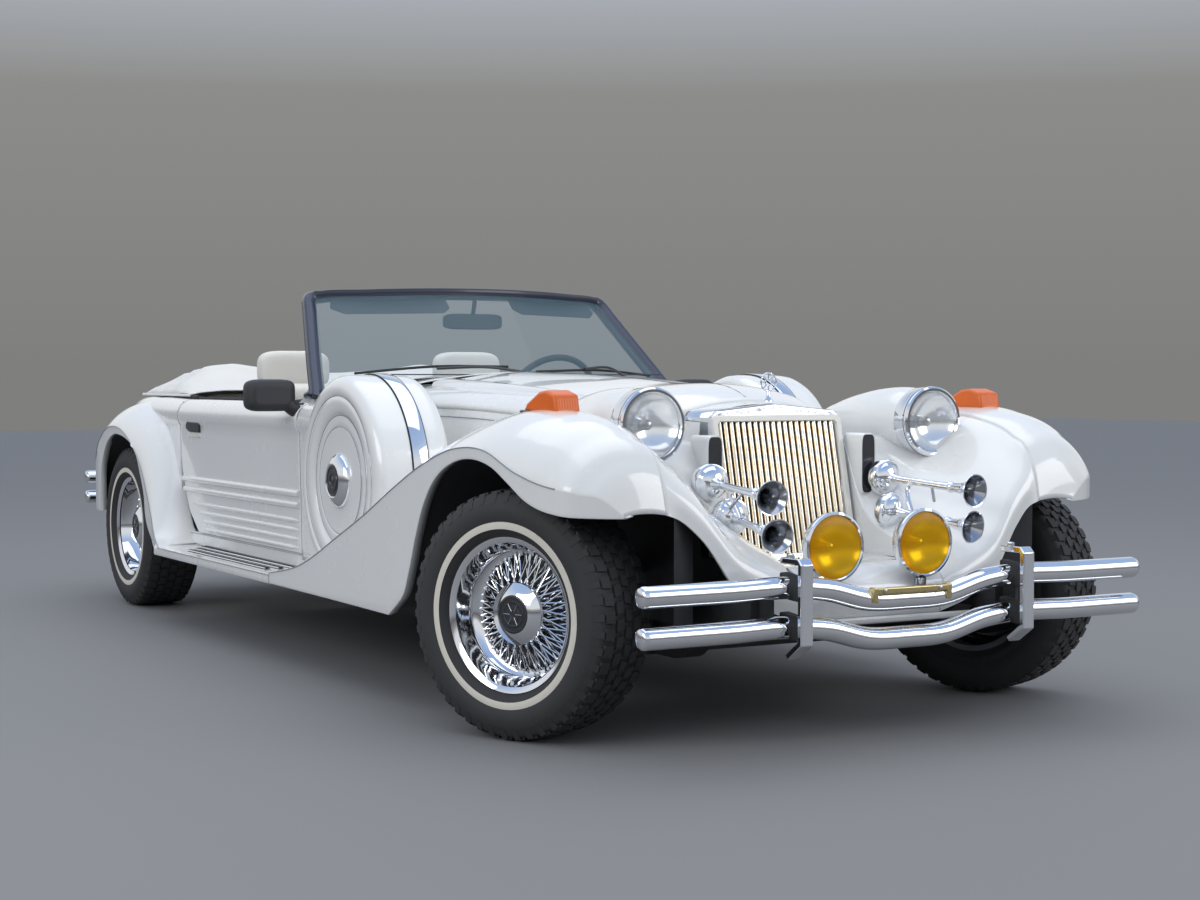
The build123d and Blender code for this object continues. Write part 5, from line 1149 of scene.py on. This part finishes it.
# CAD pieces that stay: finish and softened edges
FINISH = {
    "boot_tub": CARPET, "chassis_frame": CHASSIS, "engine_block": CAST, "exhaust": STEEL, "floor_pan": CHASSIS,
    "front_suspension": CHASSIS, "fuel_tank": CHASSIS, "knuckle_left": CHASSIS, "knuckle_right": CHASSIS,
    "rear_axle": CHASSIS, "rear_body": WHITE, "steering_column": PLASTIC,
}
for name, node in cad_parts.items():
    node.data.materials.clear()
    node.data.materials.append(FINISH.get(name, WHITE))
    node.modifiers.new("weld", "WELD").merge_threshold = 0.00002
    node.modifiers.new("split", "EDGE_SPLIT").split_angle = rad(32)
    for p in node.data.polygons:
        p.use_smooth = True

# Floor
bpy.ops.mesh.primitive_plane_add(size=60, location=(0, 0, 0))
floor = bpy.context.object
floor.name = "floor"
pale = bpy.data.materials.new("floor_pale")
pale.use_nodes = True
pale.node_tree.nodes["Principled BSDF"].inputs["Base Color"].default_value = (0.20, 0.20, 0.205, 1)
pale.node_tree.nodes["Principled BSDF"].inputs["Roughness"].default_value = 0.75
floor.data.materials.append(pale)

# Sky, bluer and brighter where gloss mirrors it
world = bpy.data.worlds.new("studio")
bpy.context.scene.world = world
world.use_nodes = True
nodes, link = world.node_tree.nodes, world.node_tree.links.new
direction = nodes.new("ShaderNodeSeparateXYZ")
link(nodes.new("ShaderNodeTexCoord").outputs["Generated"], direction.inputs[0])


def sky(shades):
    """Colour ramp over the height of the sky, from the horizon up."""
    ramp = nodes.new("ShaderNodeValToRGB")
    stops = ramp.color_ramp.elements
    stops[0].position, stops[0].color = shades[0][0], (*shades[0][1], 1)
    stops[1].position, stops[1].color = shades[-1][0], (*shades[-1][1], 1)
    for height, shade in shades[1:-1]:
        stops.new(height).color = (*shade, 1)
    link(direction.outputs["Z"], ramp.inputs["Fac"])
    return ramp.outputs["Color"]


seen = sky([(0.0, (0.24, 0.24, 0.235)), (0.14, (0.30, 0.30, 0.29)), (0.24, (0.62, 0.68, 0.78)),
            (0.5, (0.80, 0.88, 1.0)), (1.0, (0.92, 0.96, 1.0))])
mirrored_sky = sky([(0.0, (0.16, 0.16, 0.16)), (0.09, (0.34, 0.34, 0.34)), (0.17, (0.92, 0.94, 0.97)),
                    (0.36, (0.90, 0.94, 1.0)), (0.6, (0.50, 0.66, 0.95)), (1.0, (0.34, 0.50, 0.88))])
pick = nodes.new("ShaderNodeMix")
pick.data_type = "RGBA"
link(nodes.new("ShaderNodeLightPath").outputs["Is Glossy Ray"], pick.inputs["Factor"])
link(seen, pick.inputs["A"])
link(mirrored_sky, pick.inputs["B"])
link(pick.outputs["Result"], nodes["Background"].inputs["Color"])
nodes["Background"].inputs["Strength"].default_value = 0.88


# Lamps and camera
def area(name, place, target, size, power):
    data = bpy.data.lights.new(name, "AREA")
    data.shape = "RECTANGLE"
    data.size, data.size_y = size
    data.energy = power
    lamp = bpy.data.objects.new(name, data)
    bpy.context.scene.collection.objects.link(lamp)
    lamp.location = place
    lamp.rotation_euler = (Vector(target) - Vector(place)).to_track_quat("-Z", "Y").to_euler()


area("overhead", (0, 0, 6.5), (0, 0, 0), (7, 9), 190)
area("front_left", (5.5, -8, 4.2), (0, -0.5, 0.5), (5, 3.5), 170)
area("near_side", (-8, -3, 4.0), (0, 0, 0.5), (6, 3), 185)

lens = bpy.data.cameras.new("camera")
lens.lens, lens.sensor_width = 60, 36
camera = bpy.data.objects.new("camera", lens)
bpy.context.scene.collection.objects.link(camera)
camera.location = (-3.2519, -6.5546, 0.9508)
camera.rotation_euler = (rad(90 - 2.05), 0, rad(-29.65))
bpy.context.scene.camera = camera
bpy.context.scene.view_settings.view_transform = "Standard"
